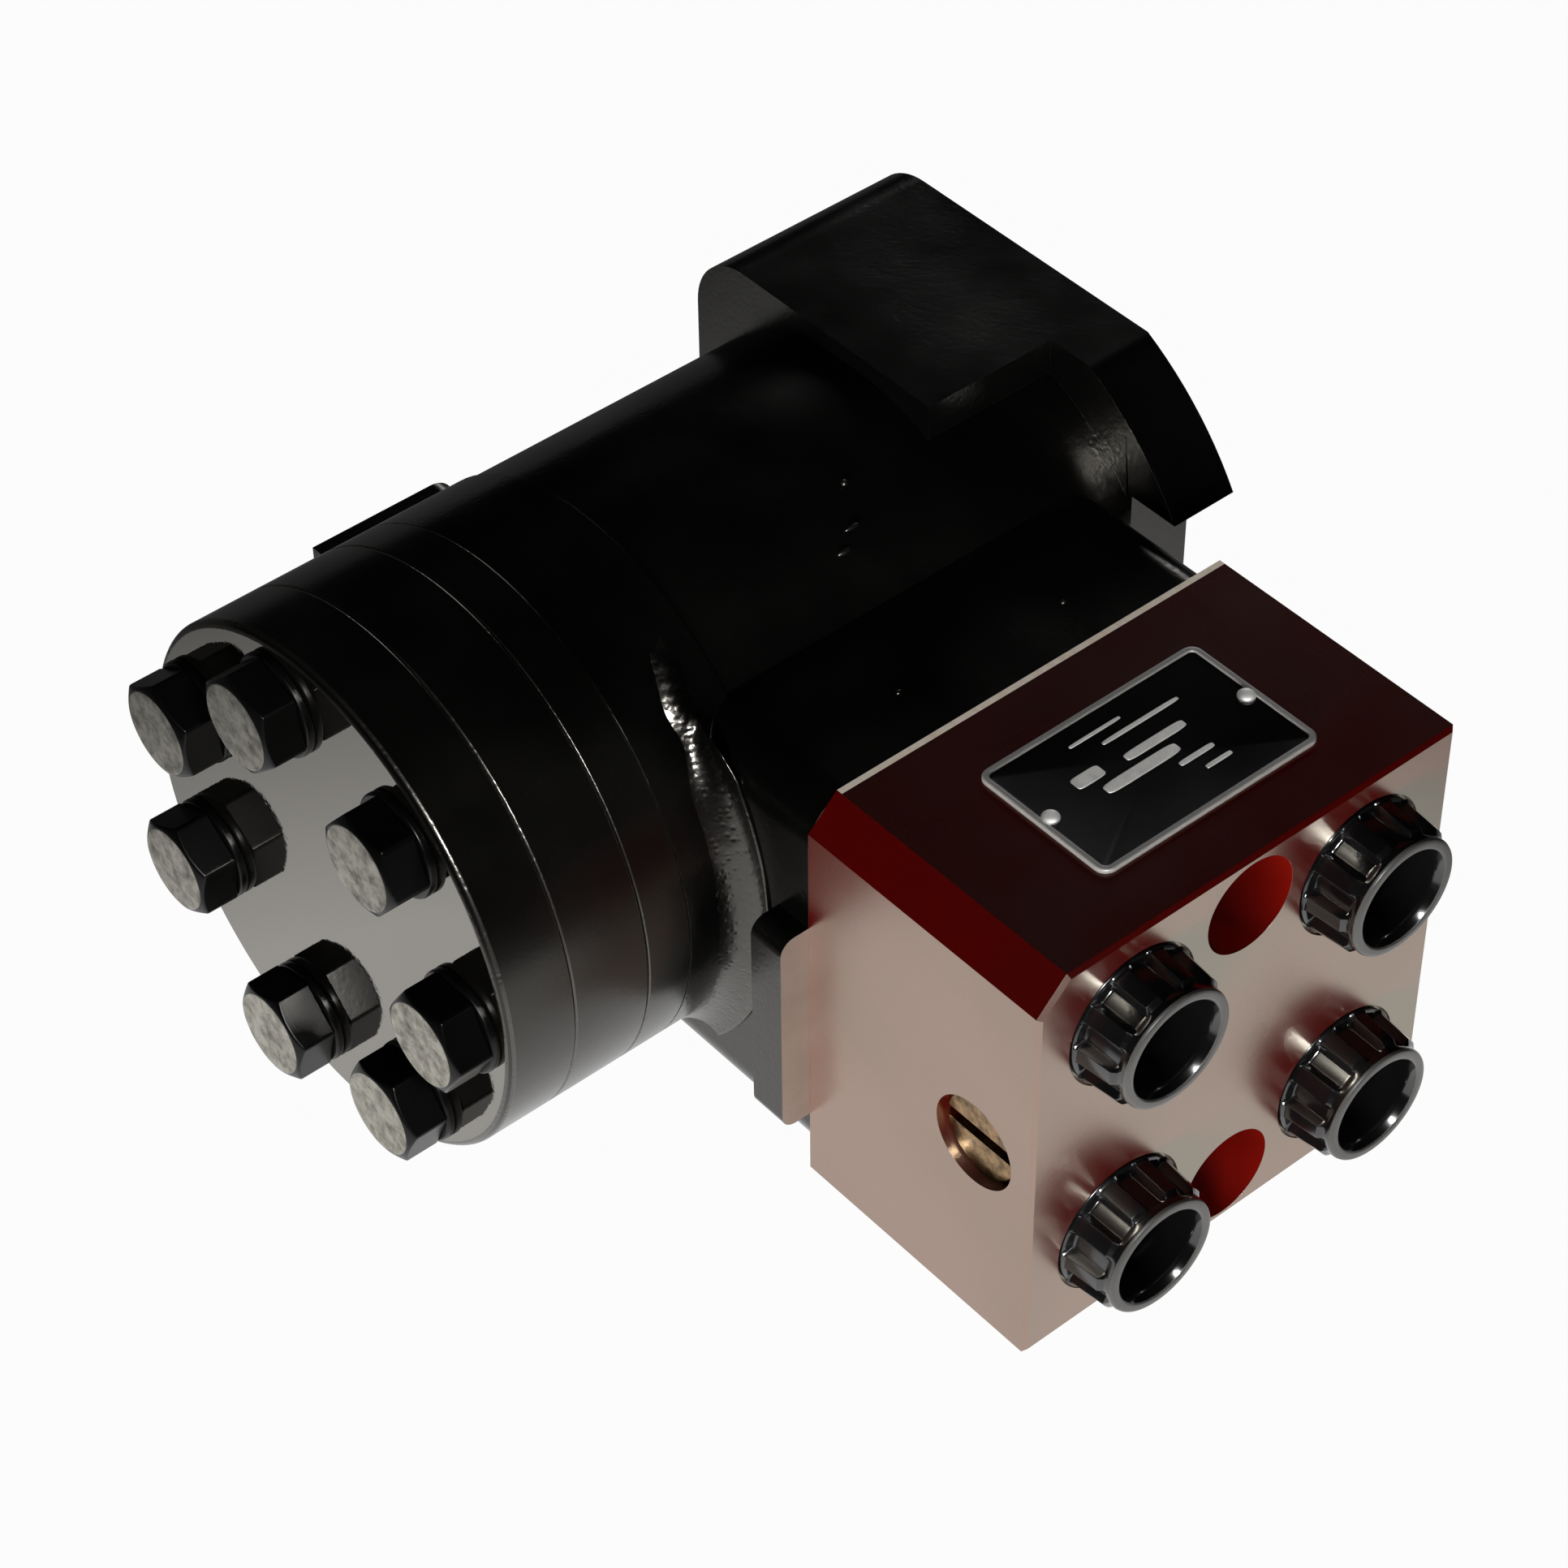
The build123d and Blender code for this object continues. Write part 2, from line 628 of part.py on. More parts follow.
# --------------------------------------------------------------- shaft seal
seal_start_x = -pilot_depth - seal_depth + face_gap
with BuildPart() as shaft_seal:
    with BuildSketch(Plane.XY):
        with BuildLine():
            Polyline(
                (seal_start_x, seal_radius - seal_play),
                (seal_start_x + seal_width, seal_radius - seal_play),
                (seal_start_x + seal_width, neck_radius + 2.5),
                (seal_start_x + seal_width - 1.5, neck_radius + 2.5),
                (seal_start_x + seal_width * 0.55, neck_radius + seal_play),
                (seal_start_x + seal_width * 0.4, neck_radius + seal_play),
                (seal_start_x, neck_radius + 1.2),
                close=True,
            )
        make_face()
    revolve(axis=Axis.X)

with BuildPart() as retaining_ring:
    with BuildSketch(Plane.YZ.offset(snap_x + face_gap)):
        Circle(seal_radius + snap_groove - seal_play)
        Circle(seal_radius - snap_rim, mode=Mode.SUBTRACT)
        with Locations((0, seal_radius)):
            Rectangle(snap_gap, snap_gap, mode=Mode.SUBTRACT)
    extrude(amount=snap_width)

# -------------------------------------------------------------- valve block
port_grid = [
    (block_x + side * port_dx, block_z + level * port_dz) for side, level in port_signs
]
with BuildPart() as valve_block:
    with BuildSketch(Plane.XZ.offset(-port_face_y)):
        with Locations((block_x, block_z)):
            Rectangle(block_length, block_height)
    extrude(amount=block_depth)
    top_left = edges().filter_by(Axis.Y).group_by(Axis.Z)[-1].sort_by(Axis.X)[0]
    chamfer(top_left, block_chamfer)
    chamfer(faces().sort_by(Axis.Y)[0].edges(), block_edge)
    # counterbored through holes for the two block bolts
    with BuildSketch(Plane.XZ.offset(-block_face_y)):
        with Locations((block_x, block_z + block_bolt_z), (block_x, block_z - block_bolt_z)):
            Circle(block_counterbore)
    extrude(amount=-block_seat_depth, mode=Mode.SUBTRACT)
    with BuildSketch(Plane.XZ.offset(-block_face_y)):
        with Locations((block_x, block_z + block_bolt_z), (block_x, block_z - block_bolt_z)):
            Circle(block_bolt_radius + bolt_play)
    extrude(amount=-block_depth, mode=Mode.SUBTRACT)
    # ports: spot face, plain mouth, tapped wall, core drill and passage
    for radius, depth in (
        (spot_radius, spot_depth),
        (port_mouth, port_mouth_depth),
        (port_radius, port_depth),
        (core_radius, core_depth),
        (passage_radius, block_depth),
    ):
        with BuildSketch(Plane.XZ.offset(-block_face_y)):
            with Locations(*port_grid):
                Circle(radius)
        extrude(amount=-depth, mode=Mode.SUBTRACT)
    # seal grooves round the passages on the joint face
    with BuildSketch(Plane.XZ.offset(-port_face_y)):
        with Locations(*port_grid):
            Circle(passage_seal_radius + seal_section / 2)
            Circle(passage_seal_radius - seal_section / 2, mode=Mode.SUBTRACT)
    extrude(amount=groove_depth, mode=Mode.SUBTRACT)
    # relief valve bore from the -X face, its seat pocket and outlet
    with BuildSketch(relief_plane.offset(block_left)):
        Circle(relief_radius)
    extrude(amount=relief_recess + relief_plug_length, mode=Mode.SUBTRACT)
    with BuildSketch(relief_plane.offset(block_left)):
        Circle(relief_bore)
    extrude(amount=relief_seat_x + relief_seat_length - block_left, mode=Mode.SUBTRACT)
    with BuildSketch(relief_plane.offset(relief_seat_x + relief_seat_length)):
        Circle(relief_orifice)
    extrude(amount=4, mode=Mode.SUBTRACT)
    with BuildSketch(Plane.XY.offset(relief_z)):
        with Locations((port_grid[0][0], relief_y)):
            Circle(feed_radius)
    extrude(amount=port_grid[0][1] - relief_z, mode=Mode.SUBTRACT)
    # shock valve bores from the +X face
    with BuildSketch(Plane.YZ.offset(block_right)):
        with Locations((shock_y, block_z + shock_z), (shock_y, block_z - shock_z)):
            Circle(shock_radius)
    extrude(amount=-(block_right - shock_seat_x + shock_seat_length), mode=Mode.SUBTRACT)

with BuildPart() as block_bolts:
    seat_y = block_face_y + block_seat_depth
    with BuildSketch(Plane.XZ.offset(-seat_y)):
        with Locations((block_x, block_z + block_bolt_z), (block_x, block_z - block_bolt_z)):
            Circle(block_head_radius)
    extrude(amount=block_head_height)
    with BuildSketch(Plane.XZ.offset(-seat_y)):
        with Locations((block_x, block_z + block_bolt_z), (block_x, block_z - block_bolt_z)):
            Circle(block_bolt_radius)
    extrude(amount=-(port_face_y - seat_y) - block_bolt_grip)
    with BuildSketch(Plane.XZ.offset(block_head_height - seat_y)):
        with Locations((block_x, block_z + block_bolt_z), (block_x, block_z - block_bolt_z)):
            RegularPolygon(hex_key / 2, 6, major_radius=False)
    extrude(amount=-block_head_height / 2, mode=Mode.SUBTRACT)

with BuildPart() as passage_o_rings:
    with BuildSketch(Plane.XZ.offset(-port_face_y + face_gap)):
        with Locations(*port_grid):
            Circle(passage_seal_radius + seal_section / 2 - seal_play)
            Circle(passage_seal_radius - seal_section / 2 + seal_play, mode=Mode.SUBTRACT)
    extrude(amount=groove_depth - 2 * face_gap)

# ------------------------------------------------------------- relief valve
relief_plug_x = block_left + relief_recess
with BuildPart() as relief_plug:
    with BuildSketch(relief_plane.offset(relief_plug_x)):
        Circle(relief_radius - thread_play)
    extrude(amount=relief_plug_length - face_gap)
    chamfer(edges().group_by(Axis.X)[0], 0.8)
    with BuildSketch(relief_plane.offset(relief_plug_x)):
        Rectangle(2 * relief_radius, relief_slot)
    extrude(amount=relief_slot_depth, mode=Mode.SUBTRACT)
    with BuildSketch(relief_plane.offset(relief_plug_x + relief_plug_length)):
        Circle(relief_bore - 1.2)
    extrude(amount=-(relief_plug_length - relief_slot_depth) / 2, mode=Mode.SUBTRACT)

with BuildPart() as relief_seat:
    with BuildSketch(relief_plane.offset(relief_seat_x)):
        Circle(relief_bore - seal_play)
        Circle(relief_orifice, mode=Mode.SUBTRACT)
    extrude(amount=relief_seat_length)

# conical poppets: the nose closes the orifice and the stem guides the spring
poppet_radius = 4.5
stem_radius = 2.3
nose_length = 1.0
poppet_body = 4.0
stem_length = 5.0
wire = 1.3
spring_radius = 3.7


def poppet_outline(orifice, radius):
    """Half section of a poppet whose seat is at x = 0 and whose stem is at +x."""
    return [
        (-nose_length, 0),
        (-nose_length, orifice - 0.7),
        (face_gap, orifice - 0.1),
        (1.2, radius),
        (poppet_body, radius),
        (poppet_body, stem_radius),
        (poppet_body + stem_length, stem_radius),
        (poppet_body + stem_length, 0),
    ]


relief_line = Axis((0, relief_y, relief_z), (1, 0, 0))
relief_section = Plane(
    origin=(relief_seat_x, relief_y, relief_z), x_dir=(-1, 0, 0), z_dir=(0, 0, -1)
)
with BuildPart() as relief_poppet:
    with BuildSketch(relief_section):
        with BuildLine():
            Polyline(*poppet_outline(relief_orifice, poppet_radius), close=True)
        make_face()
    revolve(axis=relief_line)

relief_pocket_x = relief_plug_x + relief_plug_length - (relief_plug_length - relief_slot_depth) / 2
relief_spring_length = relief_seat_x - poppet_body - relief_pocket_x - wire
with BuildPart() as relief_spring:
    with BuildLine() as coil:
        Helix(
            pitch=relief_spring_length / 5,
            height=relief_spring_length,
            radius=spring_radius,
            center=(relief_pocket_x + wire / 2, relief_y, relief_z),
            direction=(1, 0, 0),
        )
    with BuildSketch(Plane(origin=coil.line @ 0, z_dir=coil.line % 0)):
        Rectangle(wire - 2 * face_gap, wire - 2 * face_gap)
    sweep(path=coil.line, is_frenet=True)

# ------------------------------------------------------------- shock valves
shock_lines = {"upper": block_z + shock_z, "lower": block_z - shock_z}
shock_plug_x = block_right - edge_break
with BuildPart() as shock_plugs:
    with BuildSketch(Plane.YZ.offset(shock_plug_x)):
        with Locations(*[(shock_y, z) for z in shock_lines.values()]):
            Circle(shock_radius - thread_play)
    extrude(amount=-shock_plug_length)
    with BuildSketch(Plane.YZ.offset(shock_plug_x)):
        with Locations(*[(shock_y, z) for z in shock_lines.values()]):
            RegularPolygon(shock_radius / 2, 6, major_radius=False)
    extrude(amount=-shock_plug_length / 2, mode=Mode.SUBTRACT)

with BuildPart() as shock_seats:
    with BuildSketch(Plane.YZ.offset(shock_seat_x)):
        with Locations(*[(shock_y, z) for z in shock_lines.values()]):
            Circle(shock_radius - seal_play)
            Circle(shock_orifice, mode=Mode.SUBTRACT)
    extrude(amount=-shock_seat_length)

shock_pieces = {}
shock_spring_length = shock_plug_x - shock_plug_length - shock_seat_x - poppet_body - wire
for name, z in shock_lines.items():
    with BuildPart() as shock_poppet:
        section = Plane(origin=(shock_seat_x, shock_y, z), x_dir=(1, 0, 0), z_dir=(0, 0, 1))
        with BuildSketch(section):
            with BuildLine():
                Polyline(*poppet_outline(shock_orifice, poppet_radius), close=True)
            make_face()
        revolve(axis=Axis((0, shock_y, z), (1, 0, 0)))
    shock_pieces["shock_poppet_" + name] = shock_poppet.part

    with BuildPart() as shock_spring:
        with BuildLine() as coil:
            Helix(
                pitch=shock_spring_length / 6,
                height=shock_spring_length,
                radius=spring_radius,
                center=(shock_seat_x + poppet_body + wire / 2, shock_y, z),
                direction=(1, 0, 0),
            )
        with BuildSketch(Plane(origin=coil.line @ 0, z_dir=coil.line % 0)):
            Rectangle(wire - 2 * face_gap, wire - 2 * face_gap)
        sweep(path=coil.line, is_frenet=True)
    shock_pieces["shock_spring_" + name] = shock_spring.part

# -------------------------------------------------------------- check valve
check_x, check_z = port_grid[0]
check_seat_y = block_face_y + core_depth
ball_y = check_seat_y + check_seat_length + (ball_radius**2 - check_orifice**2) ** 0.5 + seal_play
stop_y = ball_y + ball_lift + (ball_radius**2 - check_orifice**2) ** 0.5 + seal_play
with BuildPart() as check_seat:
    for y in (check_seat_y, stop_y):
        with BuildSketch(Plane.XZ.offset(-y)):
            with Locations((check_x, check_z)):
                Circle(passage_radius - seal_play)
                Circle(check_orifice, mode=Mode.SUBTRACT)
        extrude(amount=-check_seat_length)

with BuildPart() as check_ball:
    with Locations((check_x, ball_y, check_z)):
        Sphere(ball_radius)

# --------------------------------------------------------------- port plugs
plug_names = ("pump_port_plug", "tank_port_plug", "left_port_plug", "right_port_plug")
spot_y = block_face_y + spot_depth
plugs = {}
for name, (x, z) in zip(plug_names, port_grid):
    with BuildPart() as port_plug:
        with BuildSketch(Plane.XZ.offset(face_gap - spot_y)):
            with Locations((x, z)):
                Circle(plug_flange)
        extrude(amount=plug_flange_thickness)
        with BuildSketch(Plane.XZ.offset(face_gap - spot_y)):
            with Locations((x, z)):
                Circle(plug_radius)
        extrude(amount=plug_reach + spot_depth)
        with BuildSketch(Plane.XZ.offset(face_gap - spot_y)):
            with Locations((x, z)):
                with PolarLocations(plug_radius, plug_ribs):
                    Rectangle(2 * plug_rib, 2.6)
        extrude(amount=plug_reach + spot_depth - plug_rim)
        with BuildSketch(Plane.XZ.offset(face_gap - spot_y)):
            with Locations((x, z)):
                Circle(port_mouth - 0.15)
        extrude(amount=-plug_stub)
        with BuildSketch(Plane.XZ.offset(plug_reach - block_face_y + face_gap)):
            with Locations((x, z)):
                Circle(plug_hollow)
        extrude(amount=-(plug_reach + spot_depth + plug_stub / 2), mode=Mode.SUBTRACT)
    plugs[name] = port_plug.part

# ---------------------------------------------------------------- nameplate
plate_x_middle = block_x + plate_shift
rivet_offset = plate_length / 2 - rivet_margin
rivet_spots = [(plate_x_middle - rivet_offset, plate_y), (plate_x_middle + rivet_offset, plate_y)]
with BuildPart() as nameplate:
    with BuildSketch(Plane.XY.offset(block_top)):
        with Locations((plate_x_middle, plate_y)):
            RectangleRounded(plate_length, plate_width, plate_corner)
    extrude(amount=plate_gauge)

with BuildPart() as nameplate_rivets:
    with BuildSketch(Plane.XY.offset(block_top + plate_gauge)):
        with Locations(*rivet_spots):
            Circle(rivet_radius)
    extrude(amount=0.8)
    chamfer(edges().group_by(Axis.Z)[-1], 0.35)

# ------------------------------------------------------------------- export
pieces = {
    "housing": housing.part,
    "spacer_plate": spacer_plate.part,
    "gerotor_ring": gerotor_ring.part,
    "end_cap": end_cap.part,
    "cover_bolts": cover_bolts.part,
    "cover_washers": cover_washers.part,
    **seals,
    "rotor": rotor.part,
    "drive_spacer": drive_spacer.part,
    "cardan_shaft": cardan_shaft.part,
    "valve_sleeve": valve_sleeve.part,
    "cross_pin": cross_pin.part,
    "valve_spool": valve_spool.part,
    "flat_leaf_springs": flat_leaf_springs.part,
    "bowed_leaf_springs": bowed_leaf_springs.part,
    "inner_race": inner_race.part,
    "outer_race": outer_race.part,
    "needle_cage": needle_cage.part,
    "needle_rollers": needle_rollers.part,
    "shaft_seal": shaft_seal.part,
    "retaining_ring": retaining_ring.part,
    "valve_block": valve_block.part,
    "block_bolts": block_bolts.part,
    "passage_o_rings": passage_o_rings.part,
    "relief_plug": relief_plug.part,
    "relief_seat": relief_seat.part,
    "relief_poppet": relief_poppet.part,
    "relief_spring": relief_spring.part,
    "shock_plugs": shock_plugs.part,
    "shock_seats": shock_seats.part,
    **shock_pieces,
    "check_seat": check_seat.part,
    "check_ball": check_ball.part,
    **plugs,
    "nameplate": nameplate.part,
    "nameplate_rivets": nameplate_rivets.part,
}
for name, piece in pieces.items():
    piece.label = name
    export_step(piece, f"parts/{name}.step")
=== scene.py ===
# %% Load the fixed frame
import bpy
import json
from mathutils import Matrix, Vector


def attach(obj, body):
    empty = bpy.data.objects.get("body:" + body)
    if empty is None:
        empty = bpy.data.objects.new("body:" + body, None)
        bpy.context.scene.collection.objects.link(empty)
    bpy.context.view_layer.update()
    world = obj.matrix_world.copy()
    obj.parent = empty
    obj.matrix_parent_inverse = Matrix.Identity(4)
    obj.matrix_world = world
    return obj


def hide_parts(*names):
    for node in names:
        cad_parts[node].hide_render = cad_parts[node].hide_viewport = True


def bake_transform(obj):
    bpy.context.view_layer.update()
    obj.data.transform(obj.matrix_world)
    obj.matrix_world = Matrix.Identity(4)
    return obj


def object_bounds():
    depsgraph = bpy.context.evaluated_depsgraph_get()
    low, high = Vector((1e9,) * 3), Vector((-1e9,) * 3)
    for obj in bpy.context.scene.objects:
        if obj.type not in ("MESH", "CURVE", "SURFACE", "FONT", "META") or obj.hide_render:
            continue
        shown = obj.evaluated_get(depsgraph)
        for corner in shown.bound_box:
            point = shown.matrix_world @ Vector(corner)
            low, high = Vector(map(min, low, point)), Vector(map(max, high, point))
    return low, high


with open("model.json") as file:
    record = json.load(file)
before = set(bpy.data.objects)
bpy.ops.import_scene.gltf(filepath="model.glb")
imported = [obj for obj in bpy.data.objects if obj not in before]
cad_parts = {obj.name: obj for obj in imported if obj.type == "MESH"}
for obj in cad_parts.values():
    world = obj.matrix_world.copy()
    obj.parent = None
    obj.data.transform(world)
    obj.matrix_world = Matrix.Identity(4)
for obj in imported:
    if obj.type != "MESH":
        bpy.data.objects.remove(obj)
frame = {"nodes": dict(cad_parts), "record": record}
cad_low, cad_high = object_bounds()
print("CAD box in metres:", tuple(cad_low), tuple(cad_high))

# %% [markdown]
# # Dressing an orbital steering unit
# The unit turns a steering wheel's small effort into metered oil. Every working part is
# already here as a CAD node, in metres and in its final place. These cells give each node a
# finish, and rebuild the parts that catch the eye with softer edges and finer shapes.

# %% Libraries and small helpers
import bmesh
import bpy
import json
import math
import numpy as np
from mathutils import Matrix, Vector

MM = 0.001
nodes = frame["nodes"]

# %% [markdown]
# ## Camera
# A long lens from above and in front of the end cap, turned a hair about its own axis. A
# camera can be aimed at a target by a constraint; here three angles and a place are enough,
# because its axes follow from them and stay the same in every run.

# %% Camera
VIEW_AZIMUTH = math.radians(-39.9)
VIEW_HEIGHT = math.radians(43.82)
VIEW_ROLL = math.radians(-0.69)
VIEW_LENS = 100.3                      # millimetres on a 36 mm sensor
CAMERA_PLACE = Vector((-0.4602, -0.4745, 0.5525))

back = Vector((
    math.sin(VIEW_AZIMUTH) * math.cos(VIEW_HEIGHT),
    -math.cos(VIEW_AZIMUTH) * math.cos(VIEW_HEIGHT),
    math.sin(VIEW_HEIGHT),
))
level_right = Vector((math.cos(VIEW_AZIMUTH), math.sin(VIEW_AZIMUTH), 0))
level_up = back.cross(level_right)
right = level_right * math.cos(VIEW_ROLL) + level_up * math.sin(VIEW_ROLL)
up = level_up * math.cos(VIEW_ROLL) - level_right * math.sin(VIEW_ROLL)

camera_data = bpy.data.cameras.new("camera")
camera_data.lens = VIEW_LENS
camera_data.sensor_width = 36
camera = bpy.data.objects.new("camera", camera_data)
bpy.context.scene.collection.objects.link(camera)
turn = Matrix((right, up, back)).transposed().to_4x4()
camera.matrix_world = Matrix.Translation(CAMERA_PLACE) @ turn
bpy.context.scene.camera = camera
bpy.context.scene.view_settings.view_transform = "Standard"
print("camera looks along", tuple(round(x, 3) for x in -back))

# %% [markdown]
# ## Shared effects
# Paint, castings and turned metal each need a pattern that several materials share. A shader
# node group holds such a pattern once, with named inputs, and each material sets its own
# values. The groups give out colours, roughness and height only; the shader stays outside.

# %% Node group helpers
def new_group(name, inputs, outputs):
    """Empty shader group. inputs: {name: default}, a tuple makes a colour and None a vector."""
    group = bpy.data.node_groups.new(name, "ShaderNodeTree")
    for label, value in inputs.items():
        kind = "NodeSocketFloat"
        if value is None:
            kind = "NodeSocketVector"
        elif isinstance(value, tuple):
            kind = "NodeSocketColor"
        socket = group.interface.new_socket(name=label, in_out="INPUT", socket_type=kind)
        if isinstance(value, tuple):
            socket.default_value = (*value, 1)
        elif value is not None:
            socket.default_value = value
    for label in outputs:
        kind = "NodeSocketColor" if label == "Colour" else "NodeSocketFloat"
        group.interface.new_socket(name=label, in_out="OUTPUT", socket_type=kind)
    return group, group.nodes.new("NodeGroupInput"), group.nodes.new("NodeGroupOutput")


def noise(tree, vector, scale, detail=4.0, rough=0.5):
    """Noise texture whose scale may be a number or a socket."""
    texture = tree.nodes.new("ShaderNodeTexNoise")
    texture.inputs["Detail"].default_value = detail
    texture.inputs["Roughness"].default_value = rough
    tree.links.new(vector, texture.inputs["Vector"])
    feed(tree, scale, texture.inputs["Scale"])
    return texture.outputs["Fac"]


def feed(tree, value, socket):
    """Links a socket, or sets a plain number."""
    if isinstance(value, bpy.types.NodeSocket):
        tree.links.new(value, socket)
    else:
        socket.default_value = value


def maths(tree, operation, a, b=0.0, clamp=False):
    """One Math node on two values."""
    node = tree.nodes.new("ShaderNodeMath")
    node.operation = operation
    node.use_clamp = clamp
    feed(tree, a, node.inputs[0])
    feed(tree, b, node.inputs[1])
    return node.outputs[0]


def blend(tree, share, low, high):
    """Colour mix from low to high by share."""
    node = tree.nodes.new("ShaderNodeMix")
    node.data_type = "RGBA"
    feed(tree, share, node.inputs["Factor"])
    feed(tree, low, node.inputs["A"])
    feed(tree, high, node.inputs["B"])
    return node.outputs["Result"]


def spread(tree, value, low, high, to_low, to_high):
    """Map Range: low..high becomes to_low..to_high, clamped."""
    node = tree.nodes.new("ShaderNodeMapRange")
    feed(tree, value, node.inputs["Value"])
    limits = {"From Min": low, "From Max": high, "To Min": to_low, "To Max": to_high}
    for label, number in limits.items():
        feed(tree, number, node.inputs[label])
    return node.outputs["Result"]


# %% [markdown]
# A sprayed film is never quite even: its colour drifts a little over a hand's width, and its
# skin has the fine waves that painters call orange peel.

# %% Paint film group
film, enter, leave = new_group(
    "paint_film",
    {"Vector": None, "Paint": (0.5, 0.5, 0.5), "Thin Paint": (0.4, 0.4, 0.4), "Drift Scale": 30.0,
     "Peel Scale": 900.0, "Gloss": 0.05, "Dull": 0.12},
    ("Colour", "Roughness", "Height"),
)
where = enter.outputs["Vector"]
drift = noise(film, where, enter.outputs["Drift Scale"], detail=3)
peel = noise(film, where, enter.outputs["Peel Scale"], detail=2)
share = spread(film, drift, 0.35, 0.65, 0.0, 1.0)
colour = blend(film, share, enter.outputs["Paint"], enter.outputs["Thin Paint"])
roughness = spread(film, drift, 0.3, 0.7, enter.outputs["Gloss"], enter.outputs["Dull"])
film.links.new(colour, leave.inputs["Colour"])
film.links.new(roughness, leave.inputs["Roughness"])
film.links.new(peel, leave.inputs["Height"])
print("group:", film.name)

# %% [markdown]
# Sand casting leaves a skin of soft bumps with a few deeper pits. A noise field gives the
# bumps and a field of cells the pits; paint then fills the finest of it.

# %% Cast skin group
skin, enter, leave = new_group(
    "cast_skin",
    {"Vector": None, "Bump Scale": 260.0, "Pit Scale": 700.0, "Pit Depth": 0.5},
    ("Height", "Pits"),
)
where = enter.outputs["Vector"]
bumps = noise(skin, where, enter.outputs["Bump Scale"], detail=5, rough=0.6)
cells = skin.nodes.new("ShaderNodeTexVoronoi")
skin.links.new(where, cells.inputs["Vector"])
skin.links.new(enter.outputs["Pit Scale"], cells.inputs["Scale"])
pits = spread(skin, cells.outputs["Distance"], 0.0, 0.45, 1.0, 0.0)
sunk = maths(skin, "MULTIPLY", pits, enter.outputs["Pit Depth"])
skin.links.new(maths(skin, "SUBTRACT", bumps, sunk), leave.inputs["Height"])
skin.links.new(pits, leave.inputs["Pits"])
print("group:", skin.name)

# %% [markdown]
# Turned and ground steel shows fine parallel lines. Squeezing a noise field along one
# direction draws them: a wide step along the cut and a narrow one across it.

# %% Tool mark group
marks, enter, leave = new_group(
    "tool_marks",
    {"Vector": None, "Metal": (0.6, 0.6, 0.6), "Stain": (0.4, 0.38, 0.35), "Line Scale": 1500.0,
     "Stain Scale": 60.0, "Polished": 0.2, "Worn": 0.4},
    ("Colour", "Roughness", "Height"),
)
where = enter.outputs["Vector"]
lines = noise(marks, where, enter.outputs["Line Scale"], detail=2)
stains = noise(marks, where, enter.outputs["Stain Scale"], detail=5, rough=0.6)
share = spread(marks, stains, 0.4, 0.75, 0.0, 1.0)
colour = blend(marks, share, enter.outputs["Metal"], enter.outputs["Stain"])
roughness = spread(marks, stains, 0.3, 0.7, enter.outputs["Polished"], enter.outputs["Worn"])
marks.links.new(colour, leave.inputs["Colour"])
marks.links.new(roughness, leave.inputs["Roughness"])
marks.links.new(lines, leave.inputs["Height"])
print("group:", marks.name)

# %% [markdown]
# ## Materials
# Each finish starts from the same three nodes: object coordinates, the shader, and a bump.
# The coordinates are in metres, so a pattern has the same size on every piece.

# %% Material helpers
PAINT_RELIEF = 0.00006          # metres between the low and the high of a painted skin
finishes = {}


def start_material(name, squeeze=(1, 1, 1), **fixed):
    """Files a new material as a finish; fixed holds the shader's constant values.

    Gives its tree, its shader and its object coordinates, scaled by squeeze.
    """
    material = bpy.data.materials.new(name)
    material.use_nodes = True
    finishes[name] = material
    tree = material.node_tree
    shader = tree.nodes["Principled BSDF"]
    for label, value in fixed.items():
        shader.inputs[label.replace("_", " ")].default_value = value
    place = tree.nodes.new("ShaderNodeTexCoord")
    mapping = tree.nodes.new("ShaderNodeMapping")
    mapping.inputs["Scale"].default_value = squeeze
    tree.links.new(place.outputs["Object"], mapping.inputs["Vector"])
    return tree, shader, mapping.outputs["Vector"]


def use_group(tree, group, vector, **values):
    """Places a shared group and sets its named inputs."""
    node = tree.nodes.new("ShaderNodeGroup")
    node.node_tree = group
    tree.links.new(vector, node.inputs["Vector"])
    for label, value in values.items():
        socket = node.inputs[label.replace("_", " ")]
        socket.default_value = (*value, 1) if isinstance(value, tuple) else value
    return node


def bump(tree, shader, height, strength, distance):
    """Height to the shader's normal, distance in metres."""
    node = tree.nodes.new("ShaderNodeBump")
    node.inputs["Strength"].default_value = strength
    node.inputs["Distance"].default_value = distance
    tree.links.new(height, node.inputs["Height"])
    tree.links.new(node.outputs["Normal"], shader.inputs["Normal"])


def enamel(name, paint, thin, cast=0.0, gloss=0.04, dull=0.09, peel=0.25, **fixed):
    """Sprayed enamel; cast is how much of the casting shows through the film."""
    tree, shader, where = start_material(name, **fixed)
    coat = use_group(tree, film, where, Paint=paint, Thin_Paint=thin, Gloss=gloss, Dull=dull)
    tree.links.new(coat.outputs["Colour"], shader.inputs["Base Color"])
    tree.links.new(coat.outputs["Roughness"], shader.inputs["Roughness"])
    height = maths(tree, "MULTIPLY", coat.outputs["Height"], peel)
    if cast:
        rough = use_group(tree, skin, where)
        shown = maths(tree, "MULTIPLY", rough.outputs["Height"], cast)
        height = maths(tree, "ADD", height, shown)
    bump(tree, shader, height, 0.5, PAINT_RELIEF)


